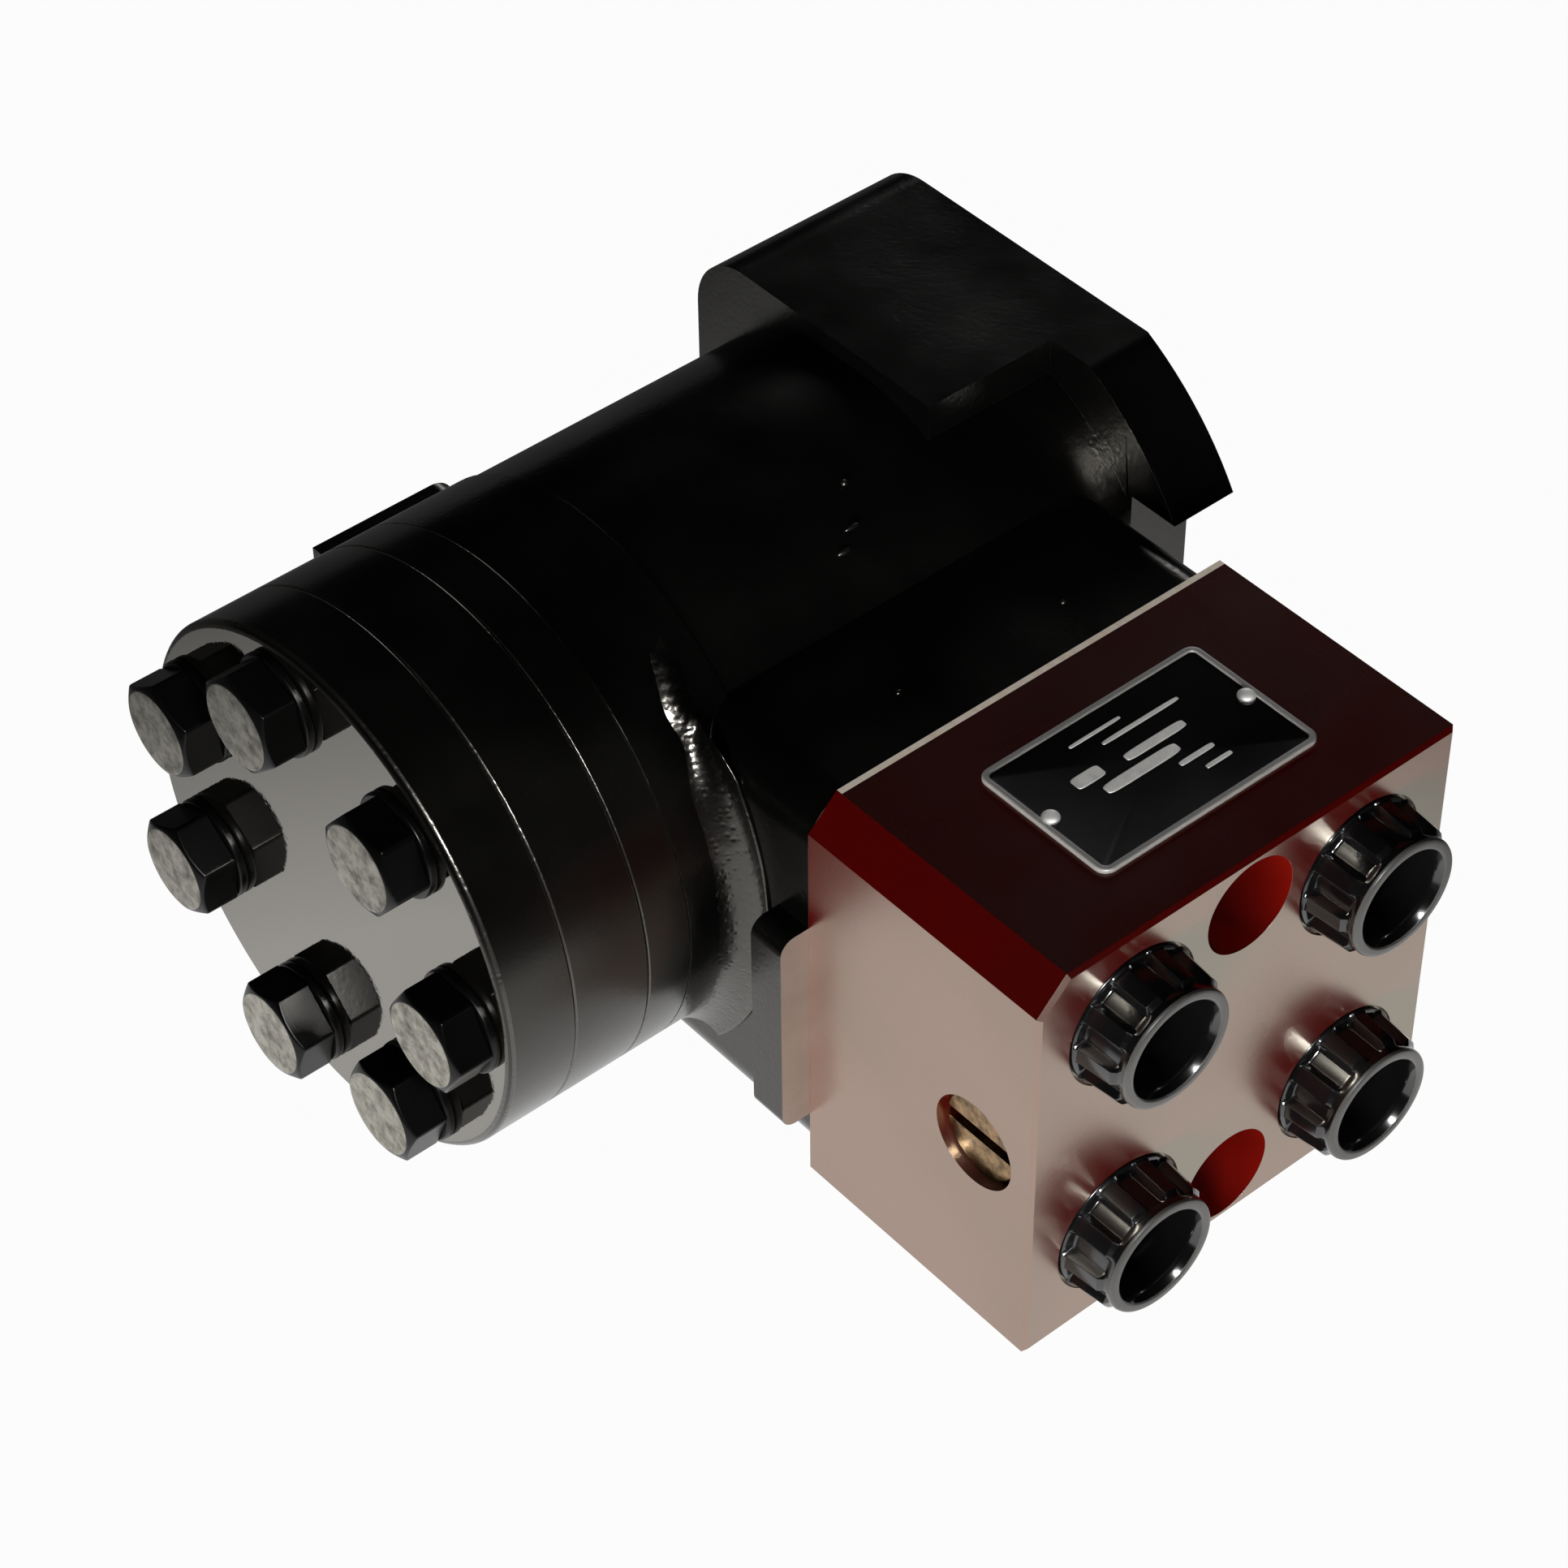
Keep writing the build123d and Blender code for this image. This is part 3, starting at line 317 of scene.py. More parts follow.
def metal(name, bright, stain, polished, worn, squeeze=(1, 1, 1), marks_depth=0.000004,
          stain_scale=60.0, **fixed):
    """Bare metal with tool marks drawn along the squeezed direction."""
    tree, shader, where = start_material(name, squeeze, **{"Metallic": 1.0, **fixed})
    finish = use_group(tree, marks, where, Metal=bright, Stain=stain, Polished=polished, Worn=worn,
                       Stain_Scale=stain_scale)
    tree.links.new(finish.outputs["Colour"], shader.inputs["Base Color"])
    tree.links.new(finish.outputs["Roughness"], shader.inputs["Roughness"])
    bump(tree, shader, finish.outputs["Height"], 0.4, marks_depth)


# %% [markdown]
# Castings and discs wear one black enamel. What differs is what lies under the film, and the
# index says it: straight on, a film mirrors ((index - 1) / (index + 1)) squared of the light.
# A low index stands for paint that sinks into a casting, a high one for lacquer on a ground
# face, which mirrors the floor like dark glass. A clear coat could do this as well, but one
# index is easier to set. Paint on an edge is thin, so the edges get more of the casting.

# %% Black finishes
INK = (0.002, 0.002, 0.002)
WARM = (1.0, 0.95, 0.86, 1)             # tint of the gloss on black
enamel("black_enamel", INK, (0.004, 0.004, 0.004), cast=0.4, gloss=0.2, dull=0.3,
       IOR=1.6, Specular_Tint=WARM)
enamel("black_cast", INK, (0.005, 0.005, 0.005), cast=1.2, gloss=0.16, dull=0.3,
       IOR=1.5, Specular_Tint=WARM)
enamel("black_skin", INK, (0.006, 0.006, 0.006), cast=4.0, gloss=0.18, dull=0.32,
       IOR=1.8, Specular_Tint=WARM)
enamel("black_edge", INK, (0.006, 0.006, 0.006), cast=4.0, gloss=0.24, dull=0.38,
       IOR=2.0, Specular_Tint=WARM)
enamel("black_face", INK, (0.006, 0.006, 0.005), cast=0.15, gloss=0.02, dull=0.05,
       IOR=3.0, Specular_Tint=WARM)
enamel("bolt_black", INK, (0.004, 0.004, 0.004), cast=0.4, gloss=0.24, dull=0.34, IOR=1.3)
print("black finishes:", len(finishes))

# %% [markdown]
# The port block is a milled bar, so its lacquer lies on flat metal. Its upright faces mirror
# the floor strongly and its top, which faces the dark ceiling, hardly at all; the top also takes
# a darker copy of the red, a painted shade. The two counterbores take a brighter red, a painted
# highlight.

# %% Red finishes
WARMER = (1.0, 0.96, 0.80, 1)           # tint of the gloss on red
enamel("red_enamel", (0.16, 0.002, 0.001), (0.13, 0.001, 0.001), cast=0.1,
       gloss=0.24, dull=0.32, IOR=3.4, Specular_Tint=WARMER)
# darker copy of the red for the top: painted shade where it faces the dark ceiling
enamel("red_top_painted_shade", (0.13, 0.001, 0.0005), (0.10, 0.001, 0.0005), cast=0.1,
       gloss=0.24, dull=0.32, IOR=1.5, Specular_Tint=WARMER)
# brighter red for the counterbores and the bolts in them: a painted highlight
enamel("red_bore", (0.40, 0.010, 0.005), (0.26, 0.006, 0.003),
       gloss=0.12, dull=0.25, IOR=2.2, Specular_Tint=WARMER)
print("black and red finishes:", len(finishes))

# %% [markdown]
# Bare metal shows where paint stops or was never put: the tops of the bolt heads, rivets, plate
# and plug, and all that works inside. The pale metal on the strip beside the joint is a painted
# highlight along the block's back top edge. A squeeze along one axis draws its tool marks that
# way.

# %% Bare metals
metal("bolt_face", (0.34, 0.32, 0.27), (0.10, 0.09, 0.07), 0.22, 0.45, stain_scale=420.0)
# pale metal for the strip beside the joint: a painted highlight on the block's edge
metal("pale_strip_highlight", (0.92, 0.84, 0.75), (0.7, 0.6, 0.5), 0.7, 0.85, stain_scale=300.0)
metal("joint_face", (0.75, 0.72, 0.68), (0.6, 0.56, 0.5), 0.25, 0.4)
metal("rivet_metal", (0.95, 0.94, 0.92), (0.8, 0.78, 0.74), 0.55, 0.75, stain_scale=500.0)
metal("zinc_steel", (0.55, 0.54, 0.50), (0.36, 0.34, 0.29), 0.22, 0.4)
metal("ground_steel", (0.62, 0.61, 0.59), (0.42, 0.40, 0.37), 0.12, 0.28,
      squeeze=(0.05, 1, 1))
metal("spring_steel", (0.30, 0.31, 0.34), (0.20, 0.18, 0.16), 0.2, 0.35)
metal("brass", (0.34, 0.21, 0.10), (0.03, 0.018, 0.01), 0.14, 0.4,
      marks_depth=0.00001, stain_scale=420.0)
metal("plate_aluminium", (0.95, 0.94, 0.92), (0.85, 0.83, 0.8), 0.3, 0.45,
      squeeze=(1, 0.05, 1), Metallic=0.1)
print("with the bare metals:", len(finishes))

# %% [markdown]
# Rubber, plastic and printing ink have no metal under them. They use the film group too, for
# its slight drift of colour and gloss.

# %% Rubber, plastic and ink
enamel("nitrile_rubber", (0.012, 0.012, 0.012), (0.02, 0.02, 0.02), gloss=0.4, dull=0.6)
enamel("cage_plastic", (0.30, 0.24, 0.14), (0.24, 0.19, 0.11), gloss=0.35, dull=0.5)
enamel("plug_plastic", (0.006, 0.006, 0.007), (0.010, 0.010, 0.011), gloss=0.10, dull=0.2,
       IOR=1.8)
# pale grey for the plugs' lips: a painted highlight
enamel("plug_lip_highlight", (0.16, 0.16, 0.155), (0.11, 0.11, 0.105), gloss=0.25, dull=0.45)
enamel("plate_ink", (0.003, 0.003, 0.003), (0.007, 0.007, 0.008), gloss=0.2, dull=0.3)
print("finishes:", sorted(finishes))

# %% [markdown]
# Every CAD node takes the finish of its own material slot. Later cells replace the nodes that
# deserve finer shapes, and what stays hidden inside keeps this finish.

# %% Dress the CAD nodes
SHARP_ANGLE = math.radians(35)
record = frame["record"]
node_slots = {row["node"]: row["material_slot"] for row in record["subparts"]}
node_body = {
    node: body for body, members in record["behaviour"]["bodies"].items() for node in members
}
for name, piece in nodes.items():
    piece.data.materials.clear()
    piece.data.materials.append(finishes[node_slots[name]])
    piece.data.shade_smooth()
    piece.data.set_sharp_from_angle(angle=SHARP_ANGLE)
print("slots in use:", sorted(set(node_slots.values())))

# %% [markdown]
# ## Softened castings and discs
# No painted edge is a knife edge: the film pulls into a small round that catches the light.
# A copy of the CAD mesh gets its doubles merged and its flat triangles joined, so that a
# Bevel modifier finds clean edges. A bevel in CAD would do it too, but here it costs nothing
# and leaves the mating sizes alone. The round may take a finish of its own.

# %% Helpers for every new piece
def finish_piece(piece, like, material=None, stands_for=True):
    """The new piece rides with CAD node like, takes its slot and stands for it."""
    for finish in material if isinstance(material, list) else [material or node_slots[like]]:
        piece.data.materials.append(finishes[finish])
    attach(piece, node_body[like])
    if stands_for:
        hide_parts(like)
    return piece


def bevel(piece, width, segments=3, angle=30, finish=-1):
    """Rounds every edge sharper than angle; finish is the slot that the round takes.

    Weighted normals follow the largest face, so that a flat stays flat up to its round.
    """
    rounding = piece.modifiers.new("edge", "BEVEL")
    rounding.width = width * MM
    rounding.segments = segments
    rounding.limit_method = "ANGLE"
    rounding.angle_limit = math.radians(angle)
    rounding.material = finish
    shading = piece.modifiers.new("flat_shading", "WEIGHTED_NORMAL")
    shading.weight = 100


def rows_of(parts, label):
    """One vector of all of a mesh's vertices or polygons, as an array (count, 3)."""
    flat = np.empty(3 * len(parts))
    parts.foreach_get(label, flat)
    return flat.reshape(-1, 3)


# %% [markdown]
# The block's faces are cut along a line just short of its joint, and the strip beyond it takes a
# pale metal that stands in as a painted highlight on its back top edge. Between its two ears the
# flange is drawn in towards the neck. Both could be sculpted by hand; a plane and a moved row of
# corners are exact.

# %% Small changes to two of the copies
HIGHLIGHT_STRIP_Y = -71.0             # the pale strip, a painted highlight, lies beyond this
FLANGE_BACK = -15.1             # the flange lies between this x and 0
EAR_Z = 33.1                    # half the gap between its ears
SIDE_Y, NECK_Y = -53.0, -43.0   # its side lies between these, and moves to the second


def cut_along_strip(work):
    """Splits the faces that cross the plane y = HIGHLIGHT_STRIP_Y."""
    everything = work.verts[:] + work.edges[:] + work.faces[:]
    place = (0, HIGHLIGHT_STRIP_Y * MM, 0)
    bmesh.ops.bisect_plane(work, geom=everything, plane_co=place, plane_no=(0, 1, 0))


def draw_in_flange(mesh):
    """Corners of the flange's side between its ears take y = NECK_Y."""
    places = rows_of(mesh.vertices, "co")
    x, y, z = places.T / MM
    side = (x > FLANGE_BACK) & (np.abs(z) < EAR_Z) & (y > SIDE_Y) & (y < NECK_Y)
    places[side, 1] = NECK_Y * MM
    mesh.vertices.foreach_set("co", places.ravel())
    mesh.update()
    print("flange corners moved:", int(side.sum()))


# %% [markdown]
# A piece with more than one finish needs a rule that says which face takes which. Painting a
# mask would do, but a test on a face's middle and its normal is exact and needs no picture.

# %% Which face takes which finish
BLOCK_X, BLOCK_Z = -67.8, -8.6          # the block's middle
BORE_Z, BORE_RADIUS = 34.5, 10.1        # counterbores, off the middle
BORE_MOUTH_Y = -127.0
BLOCK_TOP_Z = 28.0                      # all above this belongs to the top
JOINT_Y, JOINT_REACH = -69.7, 0.2


def end_face(middles, normals):
    """1 for the faces that look along -X."""
    return normals[:, 0] < -0.9


def block_zones(middles, normals):
    """1 in the counterbores (brighter red, painted highlight), 2 on the pale strip beside the
    joint (painted highlight), 3 on the top (darker red, painted shade).
    """
    off_axis = np.hypot(middles[:, 0] - BLOCK_X, np.abs(middles[:, 2] - BLOCK_Z) - BORE_Z)
    bore = (off_axis < BORE_RADIUS) & (middles[:, 1] > BORE_MOUTH_Y)
    strip = (normals[:, 2] > 0.9) & (middles[:, 1] > HIGHLIGHT_STRIP_Y)
    top = (normals[:, 2] > 0.5) & (middles[:, 2] > BLOCK_TOP_Z)
    return np.select((bore, strip, top), (1, 2, 3))


def joint_face(middles, normals):
    """1 for the machined faces of the housing that meet the port block."""
    return (normals[:, 1] < -0.9) & (np.abs(middles[:, 1] - JOINT_Y) < JOINT_REACH)


# %% [markdown]
# Eight nodes get such a copy. The tables say how wide each round is, which finishes a piece
# wears, which of them its rounds take, and which rule above deals them out.

# %% Softened copies
WELD = MM * 0.001                       # corners closer than this are one
FLAT_ANGLE = math.radians(0.5)          # faces that turn less than this are one
EDGE_ROUNDS = {                         # millimetres
    "housing": 0.8, "spacer_plate": 1.3, "gerotor_ring": 1.3, "end_cap": 0.4,
    "valve_block": 0.6, "block_bolts": 0.4, "relief_plug": 0.25, "cover_washers": 0.5,
}
COATS = {
    "housing": ["black_cast", "joint_face", "black_edge"],
    "cover_washers": "bolt_black",
    # the bolts deep in the counterbores take the bright red too, a painted highlight
    "block_bolts": "red_bore",
    "spacer_plate": ["black_enamel", "black_edge"],
    "gerotor_ring": ["black_enamel", "black_edge"],
    "end_cap": ["black_enamel", "black_face", "black_edge"],
    "valve_block": ["red_enamel", "red_bore", "pale_strip_highlight", "red_top_painted_shade"],
}
EDGE_COAT = {"housing": 2, "spacer_plate": 1, "gerotor_ring": 1, "end_cap": 2}
FACE_COAT = {"housing": joint_face, "end_cap": end_face, "valve_block": block_zones}


def softened(name):
    """Copy of a CAD node with merged doubles, joined flats and rounded edges."""
    mesh = bpy.data.meshes.new("soft_" + name)
    work = bmesh.new()
    work.from_mesh(nodes[name].data)
    bmesh.ops.remove_doubles(work, verts=work.verts, dist=WELD)
    bmesh.ops.dissolve_limit(work, angle_limit=FLAT_ANGLE, verts=work.verts, edges=work.edges)
    if name == "valve_block":
        cut_along_strip(work)
    work.to_mesh(mesh)
    work.free()
    if name == "housing":
        draw_in_flange(mesh)
    mesh.shade_smooth()
    if name in FACE_COAT:
        middles = rows_of(mesh.polygons, "center") / MM
        chosen = FACE_COAT[name](middles, rows_of(mesh.polygons, "normal"))
        mesh.polygons.foreach_set("material_index", chosen.astype(np.int32))
    piece = bpy.data.objects.new("soft_" + name, mesh)
    bpy.context.scene.collection.objects.link(piece)
    bevel(piece, EDGE_ROUNDS[name], finish=EDGE_COAT.get(name, -1))
    return finish_piece(piece, name, COATS.get(name))


for name in EDGE_ROUNDS:
    copy = softened(name)
    print(copy.name, "vertices:", len(copy.data.vertices))

# %% [markdown]
# The three coil springs sit between a fixed seat and a poppet that lifts by 2 mm. Each gets a
# copy of its mesh with doubles merged, which stands in place of its CAD node.

# %% Coil springs
SPRINGS = {
    "relief_spring": "relief_poppet",
    "shock_spring_upper": "shock_poppet_upper",
    "shock_spring_lower": "shock_poppet_lower",
}
for name, poppet in SPRINGS.items():
    mesh = nodes[name].data.copy()
    work = bmesh.new()
    work.from_mesh(mesh)
    bmesh.ops.remove_doubles(work, verts=work.verts, dist=WELD)
    work.to_mesh(mesh)
    work.free()
    coil = bpy.data.objects.new("coil_" + name, mesh)
    bpy.context.scene.collection.objects.link(coil)
    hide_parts(name)
    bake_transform(coil)
print("springs:", sorted(SPRINGS))

# %% [markdown]
# ## Turned and hexagonal pieces
# A turned piece is a profile carried round an axis: a point of the profile is a distance
# along the axis and a radius. Ribs and hexagons are the same surface with a radius that also
# changes with the angle, so one function serves bolts, plugs and rivets.

# %% Surfaces from a profile and an angle
def grid_piece(name, grids, material_of_row=None):
    """Mesh from grids of points (rows, angles, 3), each closed in its second direction.

    material_of_row says which finish the band after each row takes.
    """
    points, faces, kinds, first = [], [], [], 0
    for grid in grids:
        rows, turns = grid.shape[:2]
        index = first + np.arange(rows * turns).reshape(rows, turns)
        beside = np.roll(index, -1, axis=1)
        quads = np.stack((index[:-1], beside[:-1], beside[1:], index[1:]), axis=-1)
        points.append(grid.reshape(-1, 3))
        faces.append(quads.reshape(-1, 4))
        row_kinds = np.zeros(rows - 1, int) if material_of_row is None else material_of_row
        kinds.append(np.repeat(row_kinds, turns))
        first += rows * turns
    mesh = bpy.data.meshes.new(name)
    mesh.from_pydata(np.concatenate(points).tolist(), [], np.concatenate(faces).tolist())
    mesh.polygons.foreach_set("material_index", np.concatenate(kinds).astype(np.int32))
    work = bmesh.new()
    work.from_mesh(mesh)
    bmesh.ops.remove_doubles(work, verts=work.verts, dist=WELD)
    bmesh.ops.recalc_face_normals(work, faces=work.faces)
    work.to_mesh(mesh)
    work.free()
    mesh.shade_smooth()
    piece = bpy.data.objects.new(name, mesh)
    bpy.context.scene.collection.objects.link(piece)
    return piece


def around(along, radius, centre, axis, start):
    """Point = centre + along * axis + radius * (cos a * start + sin a * side), in millimetres.

    along and radius are arrays (rows, angles); side is axis x start.
    """
    axis, start = np.array(axis, float), np.array(start, float)
    side = np.cross(axis, start)
    angle = np.linspace(0, 2 * np.pi, radius.shape[1], endpoint=False)
    spoke = np.cos(angle)[:, None] * start + np.sin(angle)[:, None] * side
    flat = radius[..., None] * spoke + np.asarray(along, float)[..., None] * axis
    return (np.array(centre, float) + flat) * MM


# %% [markdown]
# A hexagon head is turned to a shallow cone first and its six flats are cut after that, which
# leaves the curved edge where cone and flats meet. In numbers: at each angle the flat lies at
# apothem / cos(angle from the flat's middle), and the cone drops with the radius.

# %% Cover bolts
END_X = -170.0                          # outer face of the end cap
GRIP_X = -113.5                         # the bolts end here
HEAD = {"apothem": 9.0, "height": 8.0, "flat_top": 8.4, "slope": math.tan(math.radians(30))}
WASHER = 1.8
SHANK = 6.0
TIP = 1.0                               # chamfer at the end of the shank
BOLT_CIRCLE = 40.5
BOLT_ANGLES = np.radians(130 + np.arange(7) * 360 / 7)


def bolt_grid(angle, turns=96):
    """Closed surface of one bolt, rows from the middle of its head to the end of its shank."""
    spin = np.linspace(0, 2 * np.pi, turns, endpoint=False)
    off_middle = (spin + np.pi / 3) % (np.pi / 3) - np.pi / 6
    flat = HEAD["apothem"] / np.cos(off_middle)
    same = np.ones(turns)
    top = HEAD["height"]
    edge = top - (flat - HEAD["flat_top"]) * HEAD["slope"]
    mid = (flat + HEAD["flat_top"]) / 2
    foot = (GRIP_X - END_X) + WASHER
    rows = [
        (top * same, 0 * same),
        (top * same, 0.5 * HEAD["flat_top"] * same),
        (top * same, HEAD["flat_top"] * same),
        (top - (mid - HEAD["flat_top"]) * HEAD["slope"], mid),
        (edge, flat),
        (0.5 * edge, flat),
        (0 * same, flat),
        (0 * same, SHANK * same),
        ((TIP - foot) * same, SHANK * same),
        (-foot * same, (SHANK - TIP) * same),
        (-foot * same, 0 * same),
    ]
    along = np.array([row[0] for row in rows])
    radius = np.array([row[1] for row in rows])
    spoke = (0.0, math.cos(angle), math.sin(angle))
    centre = np.array((END_X - WASHER, 0, 0)) + BOLT_CIRCLE * np.array(spoke)
    return around(along, radius, centre, (-1, 0, 0), spoke)


bolt_bands = np.array([1, 1, 0, 0, 0, 0, 0, 0, 0, 0])     # the worn top, then paint
bolts = grid_piece("hex_bolts", [bolt_grid(angle) for angle in BOLT_ANGLES], bolt_bands)
bevel(bolts, 0.35, segments=2, angle=25)
finish_piece(bolts, "cover_bolts", ["bolt_black", "bolt_face"])
print("bolts:", len(BOLT_ANGLES), "faces:", len(bolts.data.polygons))

# %% [markdown]
# Where the boss for the port block leaves the round body, the mould leaves a lumpy fillet.
# Its section is a hollow quarter circle that touches the cylinder and the boss's end face,
# and it is carried round the cylinder. A few sine waves of different pitch make the lumps:
# a displacement texture would do too, but waves stay on the seam.

# %% Cast fillet at the boss
BODY_RADIUS = 52.5
BOSS_X = -116.55                        # end face of the boss
FILLET_REACH = (118.0, 222.0)           # degrees, from +Y towards +Z
HOLLOW_START, HOLLOW_FULL = 2.5, 7.0    # radius of the hollow, at the boss's top and below
SWELL = {"half_width": 3.0, "height": 0.9, "drift": 3.5, "off_boss": 2.0}
LUMP_HEIGHT, LUMPS_LOST = 0.07, 0.85
CHANGES = {                             # degrees over which each change happens
    "swell_rises": (118, 130),
    "swell_reaches_boss": (121, 138),
    "hollow_takes_over": (131, 145),
    "hollow_grows": (134, 152),
    "lumps_fade": (143, 156),
}


def eased(value, low, high):
    """0 below low, 1 above high, and 3 t^2 - 2 t^3 between."""
    t = np.clip((value - low) / (high - low), 0, 1)
    return t * t * (3 - 2 * t)


def lumps(turned, b):
    """Sum of three waves round the body, shifted across the section, 0 at both of its edges."""
    waves = np.sin(37 * turned + 3 * b)
    waves = waves + np.sin(83 * turned + 40 * np.sin(5 * turned) - 4 * b)
    waves = waves + np.sin(151 * turned + 9 * b)
    return waves * LUMP_HEIGHT * np.sin(2 * b)


def fillet_grid(first, last, steps=260, across=16):
    """Ribbon round the body, sections numbered by degrees.

    Below the boss's top the section is a hollow quarter circle: x = BOSS_X - r (1 - sin b) and
    distance from the axis = body + r (1 - cos b), with r growing downwards. Above it the section
    is a low swell, x = middle - half width (1 - 2 t) and height sin(pi t), that fades out.
    """
    degrees = np.linspace(first, last, steps)[:, None]
    turned = np.radians(degrees)
    done = {change: eased(degrees, *span) for change, span in CHANGES.items()}
    t = np.linspace(0.0, 1.0, across)
    b = t * np.pi / 2
    lump = lumps(turned, b) * (1 - LUMPS_LOST * done["lumps_fade"])
    grown = HOLLOW_START + (HOLLOW_FULL - HOLLOW_START) * done["hollow_grows"] + lump
    hollow_x = BOSS_X - grown * (1 - np.sin(b)) - 0.02
    hollow_out = grown * (1 - np.cos(b)) + 0.05
    middle = BOSS_X - SWELL["off_boss"] + SWELL["drift"] * (1 - done["swell_reaches_boss"])
    low_x = middle - SWELL["half_width"] * (1 - 2 * t)
    low_out = (SWELL["height"] * done["swell_rises"] + lump) * np.sin(np.pi * t) - 0.02
    share = done["hollow_takes_over"]
    x = share * hollow_x + (1 - share) * low_x
    distance = BODY_RADIUS + share * hollow_out + (1 - share) * low_out
    points = np.stack((x, distance * np.cos(turned), distance * np.sin(turned)), axis=-1)
    return points * MM


def ribbon_piece(name, grid, thickness):
    """Open sheet from a grid of points, given a wall by Solidify."""
    rows, columns = grid.shape[:2]
    index = np.arange(rows * columns).reshape(rows, columns)
    quads = np.stack((index[:-1, :-1], index[:-1, 1:], index[1:, 1:], index[1:, :-1]), axis=-1)
    mesh = bpy.data.meshes.new(name)
    mesh.from_pydata(grid.reshape(-1, 3).tolist(), [], quads.reshape(-1, 4).tolist())
    mesh.shade_smooth()
    piece = bpy.data.objects.new(name, mesh)
    bpy.context.scene.collection.objects.link(piece)
    wall = piece.modifiers.new("wall", "SOLIDIFY")
    wall.thickness = thickness * MM
    return piece


bead = ribbon_piece("boss_fillet", fillet_grid(*FILLET_REACH), thickness=0.4)
finish_piece(bead, "housing", "black_skin", stands_for=False)
print("fillet faces:", len(bead.data.polygons))

# %% [markdown]
# Sand that broke away from the mould leaves small drops of metal on a casting. Each is a low
# dome, longer than wide, that sits on the surface under it and catches a spark of light.

# %% Casting drops
DROPS = [
    # middle on the surface (x, y, z), outward normal (y, z), half length, half width
    ((-65.1, -19.8, 49.2), (-0.374, 0.927), 0.8, 0.7),
    ((-69.4, -26.9, 45.7), (-0.508, 0.861), 1.8, 0.5),
    ((-73.6, -29.6, 44.0), (-0.558, 0.830), 1.6, 0.6),
    ((-47.3, -58.8, 36.4), (0.0, 1.0), 0.7, 0.6),
    ((-85.2, -57.4, 36.4), (0.0, 1.0), 0.8, 0.6),
]


def drop_grid(place, outward, half_length, half_width, rise=0.5, sunk=0.1, rows=7, turns=20):
    """Half ellipsoid: length cos s along x, width cos s across, rise sin s outwards.

    A last row at the middle closes it underneath, and the whole of it is sunk a little.
    """
    spin = np.linspace(0, 2 * np.pi, turns, endpoint=False)
    climb = np.append(np.linspace(np.pi / 2, 0, rows), 0)[:, None]
    spoke = np.append(np.cos(climb[:-1]), [[0.0]], axis=0)
    out = np.array((0.0, *outward))
    side = np.cross(out, (1.0, 0.0, 0.0))
    along = spoke * np.cos(spin) * half_length
    across = spoke * np.sin(spin) * half_width
    up = rise * np.sin(climb) - sunk + 0 * spin
    offset = along[..., None] * np.array((1.0, 0, 0))
    offset = offset + across[..., None] * side
    offset = offset + up[..., None] * out
    return (np.array(place) + offset) * MM


drops = grid_piece("casting_drops", [drop_grid(*drop) for drop in DROPS])
finish_piece(drops, "housing", "black_edge", stands_for=False)
print("drops:", len(DROPS))

# %% [markdown]
# The transport plugs are moulded caps: a collar on the block, ten ribs to turn them by, a
# smooth lip painted pale grey as a highlight, and a deep hollow. Each row of the profile says how
# far it stands out, its radius, how much of a rib it carries and which of the two finishes it has.

# %% Port plugs
BLOCK_FACE_Y, SPOT_DEPTH, FACE_GAP = -127.7, 1.5, 0.03
PORT_FACE = BLOCK_FACE_Y + SPOT_DEPTH - FACE_GAP
PORTS = {                       # x and z of each port's axis
    "pump_port_plug": (-94.8, 17.9),
    "tank_port_plug": (-94.8, -35.1),
    "left_port_plug": (-40.8, 17.9),
    "right_port_plug": (-40.8, -35.1),
}
RIBS = 10
RIB_HEIGHT = 1.5
PLUG_TURNS = 160                # points round a plug
PLUG_ROWS = np.array([
    # stands out, radius, rib share, finish of the band that follows
    (-2.0, 0.0, 0, 0),
    (-2.0, 8.2, 0, 0),
    (-1.6, 8.6, 0, 0),
    (10.0, 8.9, 0, 0),
    (11.2, 9.6, 0, 0),
    (12.2, 10.0, 0, 1),
    (12.5, 10.4, 0, 1),
    (12.5, 11.4, 0, 1),
    (12.3, 11.9, 0, 1),
    (11.8, 12.1, 0, 0),
    (11.0, 12.1, 0, 0),
    (10.4, 11.7, 0.3, 0),
    (9.6, 11.5, 1.0, 0),
    (2.6, 11.7, 1.25, 0),
    (2.0, 12.0, 1.35, 0),
    (1.7, 13.0, 0.8, 0),
    (1.6, 13.5, 0, 0),
    (1.3, 13.8, 0, 0),
    (0.3, 13.8, 0, 0),
    (0.0, 13.5, 0, 0),
    (0.0, 11.85, 0, 0),
    (-3.6, 11.85, 0, 0),
    (-4.0, 11.4, 0, 0),
    (-4.0, 0.0, 0, 0),
])


def plug_grid(x, z):
    """Radius = profile + height * share of a rib, a cosine with ten waves cut off at 0 and 1."""
    spin = np.linspace(0, 2 * np.pi, PLUG_TURNS, endpoint=False)
    rib = np.clip(0.5 + 1.6 * np.cos(RIBS * spin), 0, 1)
    radius = PLUG_ROWS[:, 1:2] + RIB_HEIGHT * PLUG_ROWS[:, 2:3] * rib
    along = PLUG_ROWS[:, :1] + 0 * rib
    return around(along, radius, (x, PORT_FACE, z), (0, -1, 0), (1, 0, 0))


plug_bands = PLUG_ROWS[:-1, 3].astype(int)
for name, (x, z) in PORTS.items():
    plug = grid_piece(name.replace("port_plug", "cap"), [plug_grid(x, z)], plug_bands)
    bevel(plug, 0.15, segments=2, angle=35)
    finish_piece(plug, name, ["plug_plastic", "plug_lip_highlight"])
print("plugs:", sorted(PORTS))

